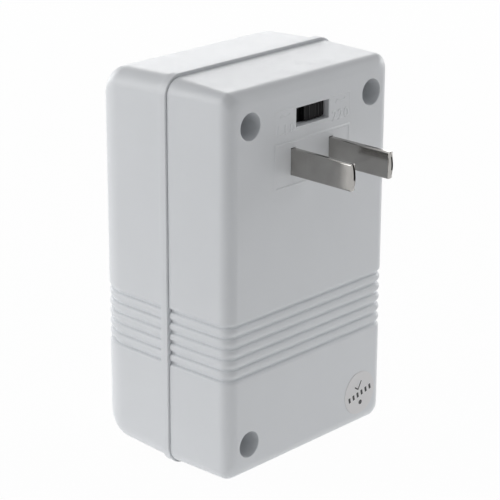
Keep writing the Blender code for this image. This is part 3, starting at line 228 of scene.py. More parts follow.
def whiteForCamera(nodes, links):
    # 1 for what the camera sees, also in reflections and through glass, and 0 for the light on the pieces
    path = nodes.new("ShaderNodeLightPath")
    seen = nodes.new("ShaderNodeMath")
    seen.operation = "MAXIMUM"
    links.new(path.outputs["Is Camera Ray"], seen.inputs[0])
    links.new(path.outputs["Is Glossy Ray"], seen.inputs[1])
    both = nodes.new("ShaderNodeMath")
    both.operation = "MAXIMUM"
    links.new(seen.outputs[0], both.inputs[0])
    links.new(path.outputs["Is Transmission Ray"], both.inputs[1])
    return both.outputs[0]


def lightTheStudio(plan):
    world = bpy.data.worlds.new("whiteStudio")
    bpy.context.scene.world = world
    world.use_nodes = True
    nodes = world.node_tree.nodes
    links = world.node_tree.links
    ambient = nodes["Background"]
    ambient.inputs["Color"].default_value = (*plan["ambient"], 1.0)
    white = nodes.new("ShaderNodeBackground")
    white.inputs["Color"].default_value = (1.0, 1.0, 1.0, 1.0)
    mix = nodes.new("ShaderNodeMixShader")
    links.new(whiteForCamera(nodes, links), mix.inputs["Fac"])
    links.new(ambient.outputs[0], mix.inputs[1])
    links.new(white.outputs[0], mix.inputs[2])
    links.new(mix.outputs[0], nodes["World Output"].inputs["Surface"])
    for name, panel in plan["panels"].items():
        place = Vector(panel["place"])
        aim = Vector(panel.get("aim", plan["aim"])) - place
        turn = aim.to_track_quat("-Z", "Y").to_euler()
        bpy.ops.object.light_add(type="AREA", location=place, rotation=turn)
        lamp = bpy.context.object
        lamp.name = name
        lamp.data.size = panel["size"]
        lamp.data.energy = panel["power"]
        lamp.visible_camera = False


def layTheFloor(plan):
    clearSelection()
    bpy.ops.mesh.primitive_plane_add(size=plan["floorSize"], location=(0.0, 0.0, 0.0))
    floor = bpy.context.object
    floor.name = "floor"
    paper = bpy.data.materials.new("whiteFloor")
    paper.use_nodes = True
    nodes = paper.node_tree.nodes
    links = paper.node_tree.links
    matt = nodes["Principled BSDF"]
    matt.inputs["Base Color"].default_value = (*plan["floorColour"], 1.0)
    matt.inputs["Roughness"].default_value = plan["floorRoughness"]
    glow = nodes.new("ShaderNodeEmission")
    share = nodes.new("ShaderNodeMath")
    share.operation = "MULTIPLY"
    share.inputs[1].default_value = plan["floorGlow"]
    mix = nodes.new("ShaderNodeMixShader")
    links.new(whiteForCamera(nodes, links), share.inputs[0])
    links.new(share.outputs[0], mix.inputs["Fac"])
    links.new(matt.outputs[0], mix.inputs[1])
    links.new(glow.outputs[0], mix.inputs[2])
    links.new(mix.outputs[0], nodes["Material Output"].inputs["Surface"])
    floor.data.materials.append(paper)


lightTheStudio(studio)
layTheFloor(studio)
print("studio lit")

# Finishes: how much moulded, drawn and banded surfaces vary in colour, gloss and height
plasticSurface = {
    "cloudScale": 55.0,
    "cloudDetail": 2.0,
    "glossScale": 700.0,
    "glossSpread": 0.05,
    "waveScale": 90.0,
    "waveDetail": 1.0,
    "waveStrength": 0.25,
    "waveDepth": 0.0001,
    "grainDetail": 4.0,
    "grainRoughness": 0.6,
    "grainStrength": 0.30,
}
metalSurface = {
    "cloudScale": 260.0,
    "cloudDetail": 4.0,
    "glossSpread": 0.06,
    "streakStretch": 0.04,
    "streakDetail": 5.0,
    "streakRoughness": 0.65,
    "streakDepth": 0.00003,
}
bandSurface = {
    "distortion": 0.6,
    "detail": 1.0,
    "detailScale": 2.0,
    "glossScale": 800.0,
    "glossSpread": 0.06,
    "strength": 0.8,
}


def startFinish(name, colour, roughness, metallic=0.0):
    finish = bpy.data.materials.new(name)
    finish.use_nodes = True
    shader = finish.node_tree.nodes["Principled BSDF"]
    shader.inputs["Base Color"].default_value = (*colour, 1.0)
    shader.inputs["Roughness"].default_value = roughness
    shader.inputs["Metallic"].default_value = metallic
    return finish, shader


def objectSpace(finish, stretch=(1.0, 1.0, 1.0)):
    nodes = finish.node_tree.nodes
    space = nodes.new("ShaderNodeTexCoord")
    mapping = nodes.new("ShaderNodeMapping")
    mapping.inputs["Scale"].default_value = stretch
    finish.node_tree.links.new(space.outputs["Object"], mapping.inputs["Vector"])
    return mapping.outputs["Vector"]


def noise(finish, space, scale, detail=3.0, roughness=0.5):
    texture = finish.node_tree.nodes.new("ShaderNodeTexNoise")
    texture.inputs["Scale"].default_value = scale
    texture.inputs["Detail"].default_value = detail
    texture.inputs["Roughness"].default_value = roughness
    finish.node_tree.links.new(space, texture.inputs["Vector"])
    return texture.outputs["Fac"]


def spread(finish, value, low, high, fromLow=0.3, fromHigh=0.7):
    ranger = finish.node_tree.nodes.new("ShaderNodeMapRange")
    ranger.inputs["From Min"].default_value = fromLow
    ranger.inputs["From Max"].default_value = fromHigh
    ranger.inputs["To Min"].default_value = low
    ranger.inputs["To Max"].default_value = high
    finish.node_tree.links.new(value, ranger.inputs["Value"])
    return ranger.outputs["Result"]


def blendColours(finish, value, first, second):
    mix = finish.node_tree.nodes.new("ShaderNodeMix")
    mix.data_type = "RGBA"
    mix.inputs[6].default_value = (*first, 1.0)  # sockets 6, 7 and 2 are the colour ones
    mix.inputs[7].default_value = (*second, 1.0)
    finish.node_tree.links.new(value, mix.inputs[0])
    return mix.outputs[2]


def tint(finish, shader, value, first, second):
    finish.node_tree.links.new(blendColours(finish, value, first, second), shader.inputs["Base Color"])


def roughen(finish, shader, value, roughness, either):
    varied = spread(finish, value, roughness - either, roughness + either)
    finish.node_tree.links.new(varied, shader.inputs["Roughness"])


def emboss(finish, shader, height, strength, depth, before=None):
    bump = finish.node_tree.nodes.new("ShaderNodeBump")
    bump.inputs["Strength"].default_value = strength
    bump.inputs["Distance"].default_value = depth
    finish.node_tree.links.new(height, bump.inputs["Height"])
    if before:
        finish.node_tree.links.new(before, bump.inputs["Normal"])
    finish.node_tree.links.new(bump.outputs["Normal"], shader.inputs["Normal"])
    return bump.outputs["Normal"]


def mouldedPlastic(name, light, dark, roughness, grain=5200.0, grainDepth=0.00002):
    plan = plasticSurface
    finish, shader = startFinish(name, light, roughness)
    space = objectSpace(finish)
    clouds = noise(finish, space, plan["cloudScale"], plan["cloudDetail"])
    tint(finish, shader, spread(finish, clouds, 0.0, 1.0), light, dark)
    roughen(finish, shader, noise(finish, space, plan["glossScale"]), roughness, plan["glossSpread"])
    waves = noise(finish, space, plan["waveScale"], plan["waveDetail"])
    wavy = emboss(finish, shader, waves, plan["waveStrength"], plan["waveDepth"])
    grains = noise(finish, space, grain, plan["grainDetail"], plan["grainRoughness"])
    emboss(finish, shader, grains, plan["grainStrength"], grainDepth, wavy)
    return finish


def drawnMetal(name, light, dark, roughness, along="Y", streak=900.0, scratch=0.15):
    plan = metalSurface
    finish, shader = startFinish(name, light, roughness, 1.0)
    stretch = tuple(plan["streakStretch"] if letter == along else 1.0 for letter in "XYZ")
    lengthwise = objectSpace(finish, stretch)
    allRound = objectSpace(finish)
    clouds = noise(finish, allRound, plan["cloudScale"], plan["cloudDetail"])
    tint(finish, shader, spread(finish, clouds, 0.0, 1.0), light, dark)
    streaks = noise(finish, lengthwise, streak, plan["streakDetail"], plan["streakRoughness"])
    roughen(finish, shader, streaks, roughness, plan["glossSpread"])
    emboss(finish, shader, streaks, scratch, plan["streakDepth"])
    return finish


def banded(name, light, dark, roughness, metallic, pitch, axis, depth=0.0001):
    plan = bandSurface
    finish, shader = startFinish(name, light, roughness, metallic)
    space = objectSpace(finish)
    wave = finish.node_tree.nodes.new("ShaderNodeTexWave")
    wave.wave_type = "BANDS"
    wave.bands_direction = axis
    wave.inputs["Scale"].default_value = math.pi / 10.0 / pitch  # the node has 10 / pi bands to a metre
    wave.inputs["Distortion"].default_value = plan["distortion"]
    wave.inputs["Detail"].default_value = plan["detail"]
    wave.inputs["Detail Scale"].default_value = plan["detailScale"]
    finish.node_tree.links.new(space, wave.inputs["Vector"])
    tint(finish, shader, wave.outputs["Fac"], dark, light)
    roughen(finish, shader, noise(finish, space, plan["glossScale"]), roughness, plan["glossSpread"])
    emboss(finish, shader, wave.outputs["Fac"], plan["strength"], depth)
    return finish


finishes = {
    "white_abs": mouldedPlastic("whiteAbs", (0.81, 0.828, 0.85), (0.795, 0.813, 0.835), 0.42),
    "black_nylon": mouldedPlastic("blackNylon", (0.018, 0.018, 0.019), (0.011, 0.011, 0.012), 0.40),
    "nickel": drawnMetal(
        "nickelPlate", (0.41, 0.40, 0.385), (0.36, 0.35, 0.335), 0.14, "Y", streak=420.0, scratch=0.04
    ),
    # painted shade: a near-black finish for the insides of the blades' slits, which stands in for the dark
    # inside them and is no metal
    "slit_painted_shade": mouldedPlastic("paintedSlitShade", (0.030, 0.027, 0.024), (0.018, 0.016, 0.014), 0.55),
    "selector_black": mouldedPlastic("selectorBlack", (0.006, 0.006, 0.0065), (0.004, 0.004, 0.0045), 0.55),
    "zinc_steel": drawnMetal("zincSteel", (0.52, 0.52, 0.53), (0.40, 0.40, 0.42), 0.36, "X"),
    "brass": drawnMetal("brassSheet", (0.72, 0.53, 0.22), (0.60, 0.42, 0.16), 0.34, "Y"),
    "silicon_steel": banded(
        "siliconSteel", (0.26, 0.26, 0.27), (0.10, 0.10, 0.11), 0.48, metallic=0.9, pitch=0.0005, axis="Y"
    ),
    "copper_enamel": banded(
        "copperEnamel", (0.55, 0.19, 0.06), (0.24, 0.07, 0.02), 0.32,
        metallic=0.5, pitch=0.00045, axis="Z", depth=0.0002,
    ),
    "copper_bare": drawnMetal("bareCopper", (0.78, 0.42, 0.27), (0.62, 0.30, 0.18), 0.30, "X"),
    "polyester_tape": banded(
        "polyesterTape", (0.82, 0.66, 0.13), (0.74, 0.57, 0.09), 0.28, metallic=0.0, pitch=0.0106, axis="Z"
    ),
    "nylon_natural": mouldedPlastic("naturalNylon", (0.76, 0.73, 0.62), (0.70, 0.66, 0.54), 0.46),
    "phenolic": mouldedPlastic(
        "phenolicBoard", (0.17, 0.075, 0.032), (0.10, 0.04, 0.018), 0.45, grain=2600.0, grainDepth=0.00005
    ),
    "fuse_body": mouldedPlastic("fuseBody", (0.80, 0.77, 0.68), (0.72, 0.68, 0.58), 0.40),
    "paper": mouldedPlastic("sealPaper", (0.84, 0.832, 0.836), (0.82, 0.812, 0.816), 0.50, grain=3500.0),
    "wire_red": mouldedPlastic("redSleeve", (0.60, 0.03, 0.03), (0.48, 0.02, 0.02), 0.42),
    "wire_black": mouldedPlastic("blackSleeve", (0.022, 0.022, 0.023), (0.014, 0.014, 0.015), 0.42),
    "wire_white": mouldedPlastic("whiteSleeve", (0.76, 0.76, 0.74), (0.70, 0.70, 0.67), 0.42),
    "wire_yellow": mouldedPlastic("yellowSleeve", (0.80, 0.60, 0.05), (0.70, 0.50, 0.03), 0.42),
}
sheen = finishes["selector_black"].node_tree.nodes["Principled BSDF"].inputs["Specular IOR Level"]
sheen.default_value = 0.12  # the knob hardly shines
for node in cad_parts.values():
    for index, cadMaterial in enumerate(node.data.materials):
        node.data.materials[index] = finishes[cadMaterial.name.split(".")[0]]
print("finishes mixed:", len(finishes))

# The housing: both halves are drawn from the seam outwards, ring by ring, with their draft and face fillet
housing = {
    "width": 0.0549,
    "height": 0.0924,
    "wall": 0.0025,
    "middleZ": 0.0467,
    "cornerSteps": 12,
    "filletSteps": 12,
    "leastCorner": 0.00045,  # the sharpest corner inside the walls
    "ringSlack": 0.000001,  # the last rings of a small fillet lie only microns apart
}
plugHalf = {
    "way": -1,
    "depth": 0.0183,
    "endStep": 0.0002,
    "sideDraft": 0.029,
    "endDraft": 0.038,
    "corner": 0.0040,
    "faceCorner": 0.0025,
    "fillet": 0.0031,
}
outletHalf = {
    "way": 1,
    "depth": 0.0255,
    "endStep": 0.0,
    "sideDraft": 0.011,
    "endDraft": 0.042,
    "corner": 0.00445,
    "faceCorner": 0.00445,
    "fillet": 0.0094,
}
seam = {"y": -0.0011, "gap": 0.00012}
rim = {"width": 0.0022, "proud": 0.0005, "rounding": 0.00025, "overlap": 0.0005}
grooves = {
    "count": 6,
    "pitch": 0.00254,
    "lowest": 0.026233,
    "depth": 0.00085,
    "floor": 0.00056,
    "crest": 0.00005,
    "steps": 12,
    "leastShare": 0.001,  # where the press is a smaller share of the depth, the skin stays
}


def ringSize(half, travel, inset):
    halfX = housing["width"] / 2 - inset - half["sideDraft"] * travel
    halfZ = housing["height"] / 2 - half["endStep"] - inset - half["endDraft"] * travel
    corner = half["corner"] + (half["faceCorner"] - half["corner"]) * travel / half["depth"]
    return halfX, halfZ, corner


def sizeWithWall(half, travel, wall, inwards=0.0):
    halfX, halfZ, corner = ringSize(half, travel, wall + inwards)
    return halfX, halfZ, max(corner - wall, housing["leastCorner"])


def roundedPlate(name, size, y, way=1):
    halfX, halfZ, corner = size
    clearSelection()
    bpy.ops.mesh.primitive_plane_add(
        size=2.0,
        location=(0.0, y, housing["middleZ"]),
        rotation=(-way * math.pi / 2, 0.0, 0.0),
    )
    bpy.context.object.scale = (halfX, halfZ, 1.0)
    plate = settle(name)
    edit(plate)
    bpy.ops.mesh.select_all(action="SELECT")
    bpy.ops.mesh.bevel(offset=corner, segments=housing["cornerSteps"], profile=0.5, affect="VERTICES")
    bpy.ops.mesh.select_all(action="SELECT")
    return plate


def looksAlongY(face):
    return abs(face.normal.y) > facing


def drawRing(piece, stride, y, before, after):
    # Pulls the selected face out by one stride and gives it its new size, corner by corner
    extrudeBy((0.0, stride, 0.0))
    y += stride
    middle = housing["middleZ"]
    slack = housing["ringSlack"]
    shrink = after[2] / before[2]
    for wayX in (1, -1):
        for wayZ in (1, -1):
            pick(piece, "VERT", lambda vert: near(vert.co.y, y, slack) and vert.co.x * wayX > 0
                 and (vert.co.z - middle) * wayZ > 0)
            x = wayX * (before[0] - before[2])
            z = middle + wayZ * (before[1] - before[2])
            bpy.ops.transform.resize(value=(shrink, 1.0, shrink), center_override=(x, y, z))
            moveX = wayX * (after[0] - after[2]) - x
            moveZ = middle + wayZ * (after[1] - after[2]) - z
            bpy.ops.transform.translate(value=(moveX, 0.0, moveZ))
    pick(piece, "FACE", lambda face: looksAlongY(face) and near(face.calc_center_median().y, y, slack))
    return y


def drawFillet(piece, half, travel, inset=0.0):
    # From the selected face: one drafted run, then the fillet towards the face
    reach = half["depth"] - inset
    fillet = half["fillet"] - inset
    y = seam["y"] + half["way"] * travel
    size = sizeWithWall(half, travel, inset)
    for step in range(housing["filletSteps"] + 1):
        turn = step / housing["filletSteps"] * math.pi / 2
        nextTravel = reach - fillet + fillet * math.sin(turn)
        nextSize = sizeWithWall(half, nextTravel, inset, fillet * (1 - math.cos(turn)))
        y = drawRing(piece, half["way"] * (nextTravel - travel), y, size, nextSize)
        travel = nextTravel
        size = nextSize
    faceOutwards()


def drawHollow(name, half):
    wall = housing["wall"]
    y = seam["y"] - half["way"] * wall
    hollow = roundedPlate(name, sizeWithWall(half, -wall, wall), y, half["way"])
    drawFillet(hollow, half, -wall, wall)
    endEdit()
    return hollow


def grooveDepth(z):
    # Flat floors, a half ellipse between each two of them, and a quarter ellipse beyond the first and last
    ridge = (grooves["pitch"] - grooves["floor"]) / 2
    deep = grooves["depth"]
    place = (z - grooves["lowest"]) / grooves["pitch"]
    last = grooves["count"] - 1
    if place < 0.0 or place > last:
        beyond = (-place if place < 0.0 else place - last) * grooves["pitch"]
        share = min(max((beyond - grooves["floor"] / 2) / ridge, 0.0), 1.0)
        return max(deep - (deep + grooves["crest"]) * math.sqrt(1 - (1 - share) ** 2), 0.0)
    beyond = abs(place - math.floor(place) - 0.5) * grooves["pitch"]
    if beyond >= ridge:
        return deep
    return deep - (deep - grooves["crest"]) * math.sqrt(1 - (beyond / ridge) ** 2)


def grooveLevels():
    ridge = (grooves["pitch"] - grooves["floor"]) / 2
    levels = []
    for number in range(grooves["count"]):
        groove = grooves["lowest"] + number * grooves["pitch"]
        for step in range(grooves["steps"] // 2 + 1):
            away = grooves["floor"] / 2 + ridge * (1 - math.cos(step / grooves["steps"] * math.pi))
            levels += [groove - away, groove + away]
    return sorted(set(round(level, 7) for level in levels))


def pressGrooves(piece, half, fromY):
    # Cuts the skin at every level of the ridges, then presses it in by the depth at that level
    edit(piece)
    for level in grooveLevels():
        sliceAt("Z", level)
    endEdit()
    pressed = piece.vertex_groups.new(name="grooves")
    for vert in piece.data.vertices:
        share = grooveDepth(vert.co.z) / grooves["depth"]
        if share > grooves["leastShare"] and half["way"] * (vert.co.y - fromY) > -samePlace / 2:
            pressed.add([vert.index], share, "REPLACE")
    applyModifier(
        piece,
        "DISPLACE",
        direction="NORMAL",
        vertex_group="grooves",
        strength=-grooves["depth"],
        mid_level=0.0,
    )
    piece.vertex_groups.clear()


def openSeam(piece, y):
    edit(piece)
    pick(piece, "FACE", lambda face: looksAlongY(face) and near(face.calc_center_median().y, y))
    bpy.ops.mesh.delete(type="FACE")


def closeSeam(piece):
    edit(piece)
    pick(piece, "EDGE", lambda edge: edge.is_boundary)
    bpy.ops.mesh.edge_face_add()
    faceOutwards()
    endEdit()


# Plug half: wells, panels, window and blade slots
plugFace = {
    "y": seam["y"] - plugHalf["depth"],
    "innerY": seam["y"] - plugHalf["depth"] + housing["wall"],
    "wellX": 0.02015,
    "wellHighZ": 0.0842,
    "wellLowZ": 0.0092,
    "wellRadius": 0.0031,
    "bossRadius": 0.0048,
    "wellFloorY": -0.0039,
    "screwHole": 0.00175,
    "bladeX": 0.00635,
    "bladeZ": 0.0735,
    "slotHalfX": 0.00078,
    "slotHalfZ": 0.00314,
    "selectorZ": 0.0833,
    "windowHalfX": 0.00546,
    "windowHalfZ": 0.00215,
    "softEdge": 0.00016,
}
panels = {
    "bladePanel": {
        "x": 0.00015, "z": 0.0731, "halfX": 0.01285, "halfZ": 0.0056, "bead": 0.0010, "proud": 0.00016,
    },
    "selectorPanel": {
        "x": 0.00015, "z": 0.08315, "halfX": 0.0129, "halfZ": 0.0031, "bead": 0.0009, "proud": 0.00005,
    },
}
# A bead starts at its root below the face, and each front edge is rounded over this share of the bead's width
beadShape = {"root": 0.0006, "round": 0.46, "steps": 8, "smoothAngle": 60.0}


def wellPlaces():
    places = []
    for side in (-1, 1):
        places.append((side * plugFace["wellX"], plugFace["wellHighZ"]))
        places.append((side * plugFace["wellX"], plugFace["wellLowZ"]))
    return places


def cutSlot(shell, name, x, z, halfX, halfZ):
    # A rectangular opening right through the plug half's face
    low = (x - halfX, plugFace["y"] - 2 * overcut, z - halfZ)
    high = (x + halfX, plugFace["innerY"] + 2 * overcut, z + halfZ)
    combine(shell, block(name, low, high))


def makePlugHousing():
    face = plugFace
    startY = seam["y"] - seam["gap"]
    shell = roundedPlate("plugHousing", ringSize(plugHalf, seam["gap"], 0.0), startY, -1)
    drawFillet(shell, plugHalf, seam["gap"])
    openSeam(shell, startY)
    pressGrooves(shell, plugHalf, startY)
    closeSeam(shell)
    combine(shell, drawHollow("plugHollow", plugHalf))
    bossY = face["y"] + overcut  # inside the wall
    holeY = face["wellFloorY"] - overcut
    for x, z in wellPlaces():
        combine(shell, barrel("wellBoss", x, z, face["bossRadius"], bossY, startY), "UNION")
        combine(shell, barrel("well", x, z, face["wellRadius"], face["y"] - 2 * overcut, face["wellFloorY"]))
        combine(shell, barrel("wellHole", x, z, face["screwHole"], holeY, startY + 2 * overcut, 32))
    for side in (-1, 1):
        bladeX = side * face["bladeX"]
        cutSlot(shell, "bladeSlot", bladeX, face["bladeZ"], face["slotHalfX"], face["slotHalfZ"])
    cutSlot(shell, "window", 0.0, face["selectorZ"], face["windowHalfX"], face["windowHalfZ"])
    edit(shell)

    def onWellRim(edge):
        for vert in edge.verts:
            if not near(vert.co.y, face["y"]):
                return False
            away = min(math.hypot(vert.co.x - x, vert.co.z - z) for x, z in wellPlaces())
            if not near(away, face["wellRadius"]):
                return False
        return True

    def onWindowRim(edge):
        for vert in edge.verts:
            across = abs(vert.co.x) < face["windowHalfX"] + samePlace
            upright = abs(vert.co.z - face["selectorZ"]) < face["windowHalfZ"] + samePlace
            if not (near(vert.co.y, face["y"]) and across and upright):
                return False
        return True

    pick(shell, "EDGE", lambda edge: onWellRim(edge) or onWindowRim(edge))
    roundEdges(face["softEdge"], 3)
    smoothOff(shell)
    finishPiece(shell, finishes["white_abs"], stands=("plug_shell",))


def makePanelBead(name, plan):
    # A flat ring, pulled out from below the face to a little in front of it. Its front edges are rounded over
    # so far that they meet the face in a soft curve
    root = beadShape["root"]
    clearSelection()
    bpy.ops.mesh.primitive_plane_add(
        size=1.0,
        location=(plan["x"], plugFace["y"] + root, plan["z"]),
        rotation=(math.pi / 2, 0.0, 0.0),
    )
    bpy.context.object.scale = (2 * plan["halfX"], 2 * plan["halfZ"], 1.0)
    bead = settle(name)
    edit(bead)
    bpy.ops.mesh.select_all(action="SELECT")
    bpy.ops.mesh.inset(thickness=plan["bead"])
    bpy.ops.mesh.delete(type="FACE")
    bpy.ops.mesh.select_all(action="SELECT")
    extrudeBy((0.0, -root - plan["proud"], 0.0))
    faceOutwards()
    front = plugFace["y"] - plan["proud"]
    pick(bead, "EDGE", lambda edge: all(near(vert.co.y, front) for vert in edge.verts)
         and not edge.is_boundary and edge.calc_face_angle(0.0) > sharpFold)
    roundEdges(plan["bead"] * beadShape["round"], beadShape["steps"])
    smoothOff(bead, beadShape["smoothAngle"])
    finishPiece(bead, finishes["white_abs"])


makePlugHousing()
for panelName, panelPlan in panels.items():
    makePanelBead(panelName + "Bead", panelPlan)
print("plug half modelled")


# Outlet half: rim band, tongue and the two openings of the outlet
outletFace = {
    "y": seam["y"] + outletHalf["depth"],
    "innerY": seam["y"] + outletHalf["depth"] - housing["wall"],
    "z": 0.0735,
    "recessHalfX": 0.0160,
    "recessHalfZ": 0.0100,
    "recessCorner": 0.0040,
    "recess": 0.0008,
    "flatX": 0.00635,
    "flatHalfX": 0.0012,
    "flatHalfZ": 0.0038,
    "roundX": 0.0095,
    "roundRadius": 0.0027,
    "wayHalfZ": 0.0024,
    "roundReach": 0.0020,
    "flatReach": 0.0018,
    "wayReach": 0.0015,
    "flatLead": 0.0010,
    "wayLead": 0.0005,
    "tongueInset": 0.00205,
    "tongueThickness": 0.0011,
    "tongueReach": 0.0017,
    "tongueRoot": 0.0040,
    "bossRadius": 0.00345,
    "pilotDepth": 0.012,
}


def roundedRod(name, size, low, high):
    rod = roundedPlate(name, size, low)
    extrudeBy((0.0, high - low, 0.0))
    faceOutwards()
    endEdit()
    return rod


def makeRimBand(low, high):
    size = ringSize(outletHalf, 0.0, -rim["proud"])
    band = roundedRod("rimBand", (size[0], size[1], size[2] + rim["proud"]), low, high)
    edit(band)
    pick(band, "EDGE", lambda edge: near(edge.verts[0].co.y, edge.verts[1].co.y)
         and edge.calc_face_angle(0.0) > sharpFold)
    roundEdges(rim["rounding"], 4)
    endEdit()
    return band


def makeTongue(low, high):
    # A thin lip inside the rim that the plug half slips over
    face = outletFace
    size = ringSize(outletHalf, 0.0, face["tongueInset"])
    corner = size[2] - face["tongueInset"]
    tongue = roundedRod("tongue", (size[0], size[1], corner), low, high)
    thin = face["tongueThickness"]
    boreSize = (size[0] - thin, size[1] - thin, corner - thin)
    combine(tongue, roundedRod("tongueBore", boreSize, low - overcut, high + overcut))
    return tongue


def makeOutletOpening(side):
    # A round pin's hole and a flat blade's slot, joined by a way. Their reaches differ, so no two end level
    face = outletFace
    roundX = side * face["roundX"]
    flatX = side * face["flatX"]
    backY = face["innerY"] - face["roundReach"]
    opening = barrel("roundWay", roundX, face["z"], face["roundRadius"], backY, face["y"])
    low = (flatX - face["flatHalfX"], face["innerY"] - face["flatReach"], face["z"] - face["flatHalfZ"])
    high = (flatX + face["flatHalfX"], face["y"] + face["flatLead"], face["z"] + face["flatHalfZ"])
    combine(opening, block("flatWay", low, high), "UNION")
    first, second = sorted((flatX, roundX))
    low = (first, face["innerY"] - face["wayReach"], face["z"] - face["wayHalfZ"])
    high = (second, face["y"] + face["wayLead"], face["z"] + face["wayHalfZ"])
    combine(opening, block("joiningWay", low, high), "UNION")
    return opening


def makeOutletHousing():
    face = outletFace
    seamY = seam["y"]
    bandEnd = seamY + rim["width"]
    start = rim["width"] - rim["overlap"]  # sunk into the band, so that the grooves run right up to it
    shell = roundedPlate("outletHousing", ringSize(outletHalf, start, 0.0), seamY + start)
    drawFillet(shell, outletHalf, start)
    openSeam(shell, seamY + start)
    pressGrooves(shell, outletHalf, seamY + start)
    closeSeam(shell)
    combine(shell, makeRimBand(seamY, bandEnd), "UNION")
    # The bosses stay when the hollow is cut, so they end at the skin wherever it curves
    hollow = drawHollow("outletHollow", outletHalf)
    for x, z in wellPlaces():
        combine(hollow, barrel("caseBoss", x, z, face["bossRadius"], seamY + seam["gap"], face["y"]))
    combine(shell, hollow)
    pilotEnd = seamY + face["pilotDepth"]
    for x, z in wellPlaces():
        combine(shell, barrel("casePilot", x, z, plugFace["screwHole"], seamY - 2 * overcut, pilotEnd, 32))
    combine(shell, makeTongue(seamY - face["tongueReach"], seamY + face["tongueRoot"]), "UNION")
    recessSize = (face["recessHalfX"], face["recessHalfZ"], face["recessCorner"])
    recess = roundedRod("recess", recessSize, 0.0, 2 * overcut)
    recess.location = (0.0, face["y"] - face["recess"], face["z"] - housing["middleZ"])
    combine(shell, recess)
    for side in (-1, 1):
        combine(shell, makeOutletOpening(side))
    smoothOff(shell)
    finishPiece(shell, finishes["white_abs"], stands=("outlet_shell",))


makeOutletHousing()
print("outlet half modelled")


# Voltage marks: low raised signs left and right of the window
marks = {
    "leftWave": {"text": "~", "x": -0.0092, "z": 0.0829, "size": 0.0058, "spacing": 1.0},
    "leftNumber": {"text": "110", "x": -0.0090, "z": 0.0801, "size": 0.0034, "spacing": 1.35},
    "rightWave": {"text": "~", "x": 0.0093, "z": 0.0829, "size": 0.0058, "spacing": 1.0},
    "rightNumber": {"text": "220", "x": 0.0093, "z": 0.0801, "size": 0.0034, "spacing": 1.2},
}
markRelief = {"proud": 0.00003, "edge": 0.00004, "smoothAngle": 40.0}


def raiseMark(name, mark):
    clearSelection()
    bpy.ops.object.text_add(location=(0.0, 0.0, 0.0))
    letters = bpy.context.object
    letters.data.body = mark["text"]
    letters.data.align_x = "CENTER"
    letters.data.size = mark["size"]
    letters.data.space_character = mark["spacing"]
    letters.data.extrude = markRelief["proud"]
    letters.data.bevel_depth = markRelief["edge"]
    letters.data.bevel_resolution = 1
    bpy.ops.object.convert(target="MESH")
    letters = bpy.context.object
    letters.rotation_euler = (math.pi / 2, 0.0, 0.0)
    letters.location = (mark["x"], plugFace["y"], mark["z"])
    letters = settle(name)
    edit(letters)
    bpy.ops.mesh.select_all(action="SELECT")
    bpy.ops.mesh.remove_doubles(threshold=samePlace / 10)
    faceOutwards()
    endEdit()
    smoothOff(letters, markRelief["smoothAngle"])
    finishPiece(letters, finishes["white_abs"])


for markName, markPlan in marks.items():
    raiseMark(markName, markPlan)
print("voltage marks raised:", len(marks))

# Plug blades: a strip folded along its lower edge, so that two leaves lie together, a fine slit apart
blade = {
    "x": plugFace["bladeX"],
    "z": 0.07345,
    "halfThickness": 0.00075,
    "halfHeight": 0.0031,
    "roundOver": 0.00036,
    "edgeY": -0.03665,
    "crown": 0.00075,
    "levels": 8,
    "cutsAcross": (-0.36, -0.1, 0.1, 0.36),
    "slit": 0.00009,
    "fold": 0.0009,
    "rootGap": 0.0003,
    "tailOverlap": 0.0002,
    "shoulderHalfHeight": 0.0043,
    "shoulder": 0.0012,
    "tailHalfHeight": 0.0020,
    "eyeRadius": 0.0008,
    "taperLength": 0.0012,
    "taper": 0.985,
    "smoothAngle": 35.0,
}
openLens = {"y": -0.0279, "halfLength": 0.0025, "halfWidth": 0.00021, "depth": 0.0016}
tipGaps = {
    "plugBladeLeft": {
        "halfWidth": 0.00036, "low": -0.0008, "high": 0.0040, "deep": 0.0010, "shift": -0.00004,
    },
    "plugBladeRight": {
        "halfWidth": 0.00026, "low": -0.0012, "high": 0.0020, "deep": 0.0009, "shift": -0.00008,
    },
}
tipNarrowing = (0.2, 1.0, 0.8)  # how much of the wedge is left at its inner end
# Which facets get the painted shade of a blade's slit: close to its middle plane, below its top edge, and
# turned inwards
slitShadeFaces = {
    "halfWidth": 0.00055,
    "belowTop": 0.0001,
    "floorBelowTop": 0.0005,
    "wallTilt": 0.55,
    "tipTilt": -0.3,
    "floorTilt": 0.6,
}


def makeStrip(name, low, high):
    # One long block with rounded long edges, and enough rings of edges to crown its tip
    plan = blade
    strip = block(name, low, high)
    edit(strip)
    pick(strip, "EDGE", lambda edge: not near(edge.verts[0].co.y, edge.verts[1].co.y))
    roundEdges(plan["roundOver"], 5)
    for step in range(1, plan["levels"]):
        sliceAt("Z", plan["z"] - plan["halfHeight"] + 2 * plan["halfHeight"] * step / plan["levels"])
    for across in plan["cutsAcross"]:
        sliceAt("X", across * 2 * plan["halfThickness"])
    endEdit()
    return strip


def crownTip(strip):
    plan = blade
    crowned = strip.vertex_groups.new(name="crown")
    for vert in strip.data.vertices:
        if near(vert.co.y, plan["edgeY"]):
            rise = 1 - ((vert.co.z - plan["z"]) / plan["halfHeight"]) ** 2
            bulge = 1 - (abs(vert.co.x) / plan["halfThickness"]) ** 2
            crowned.add([vert.index], max(rise * bulge, 0.0), "REPLACE")
    applyModifier(
        strip,
        "DISPLACE",
        direction="Y",
        vertex_group="crown",
        strength=-plan["crown"],
        mid_level=0.0,
    )
    strip.vertex_groups.clear()


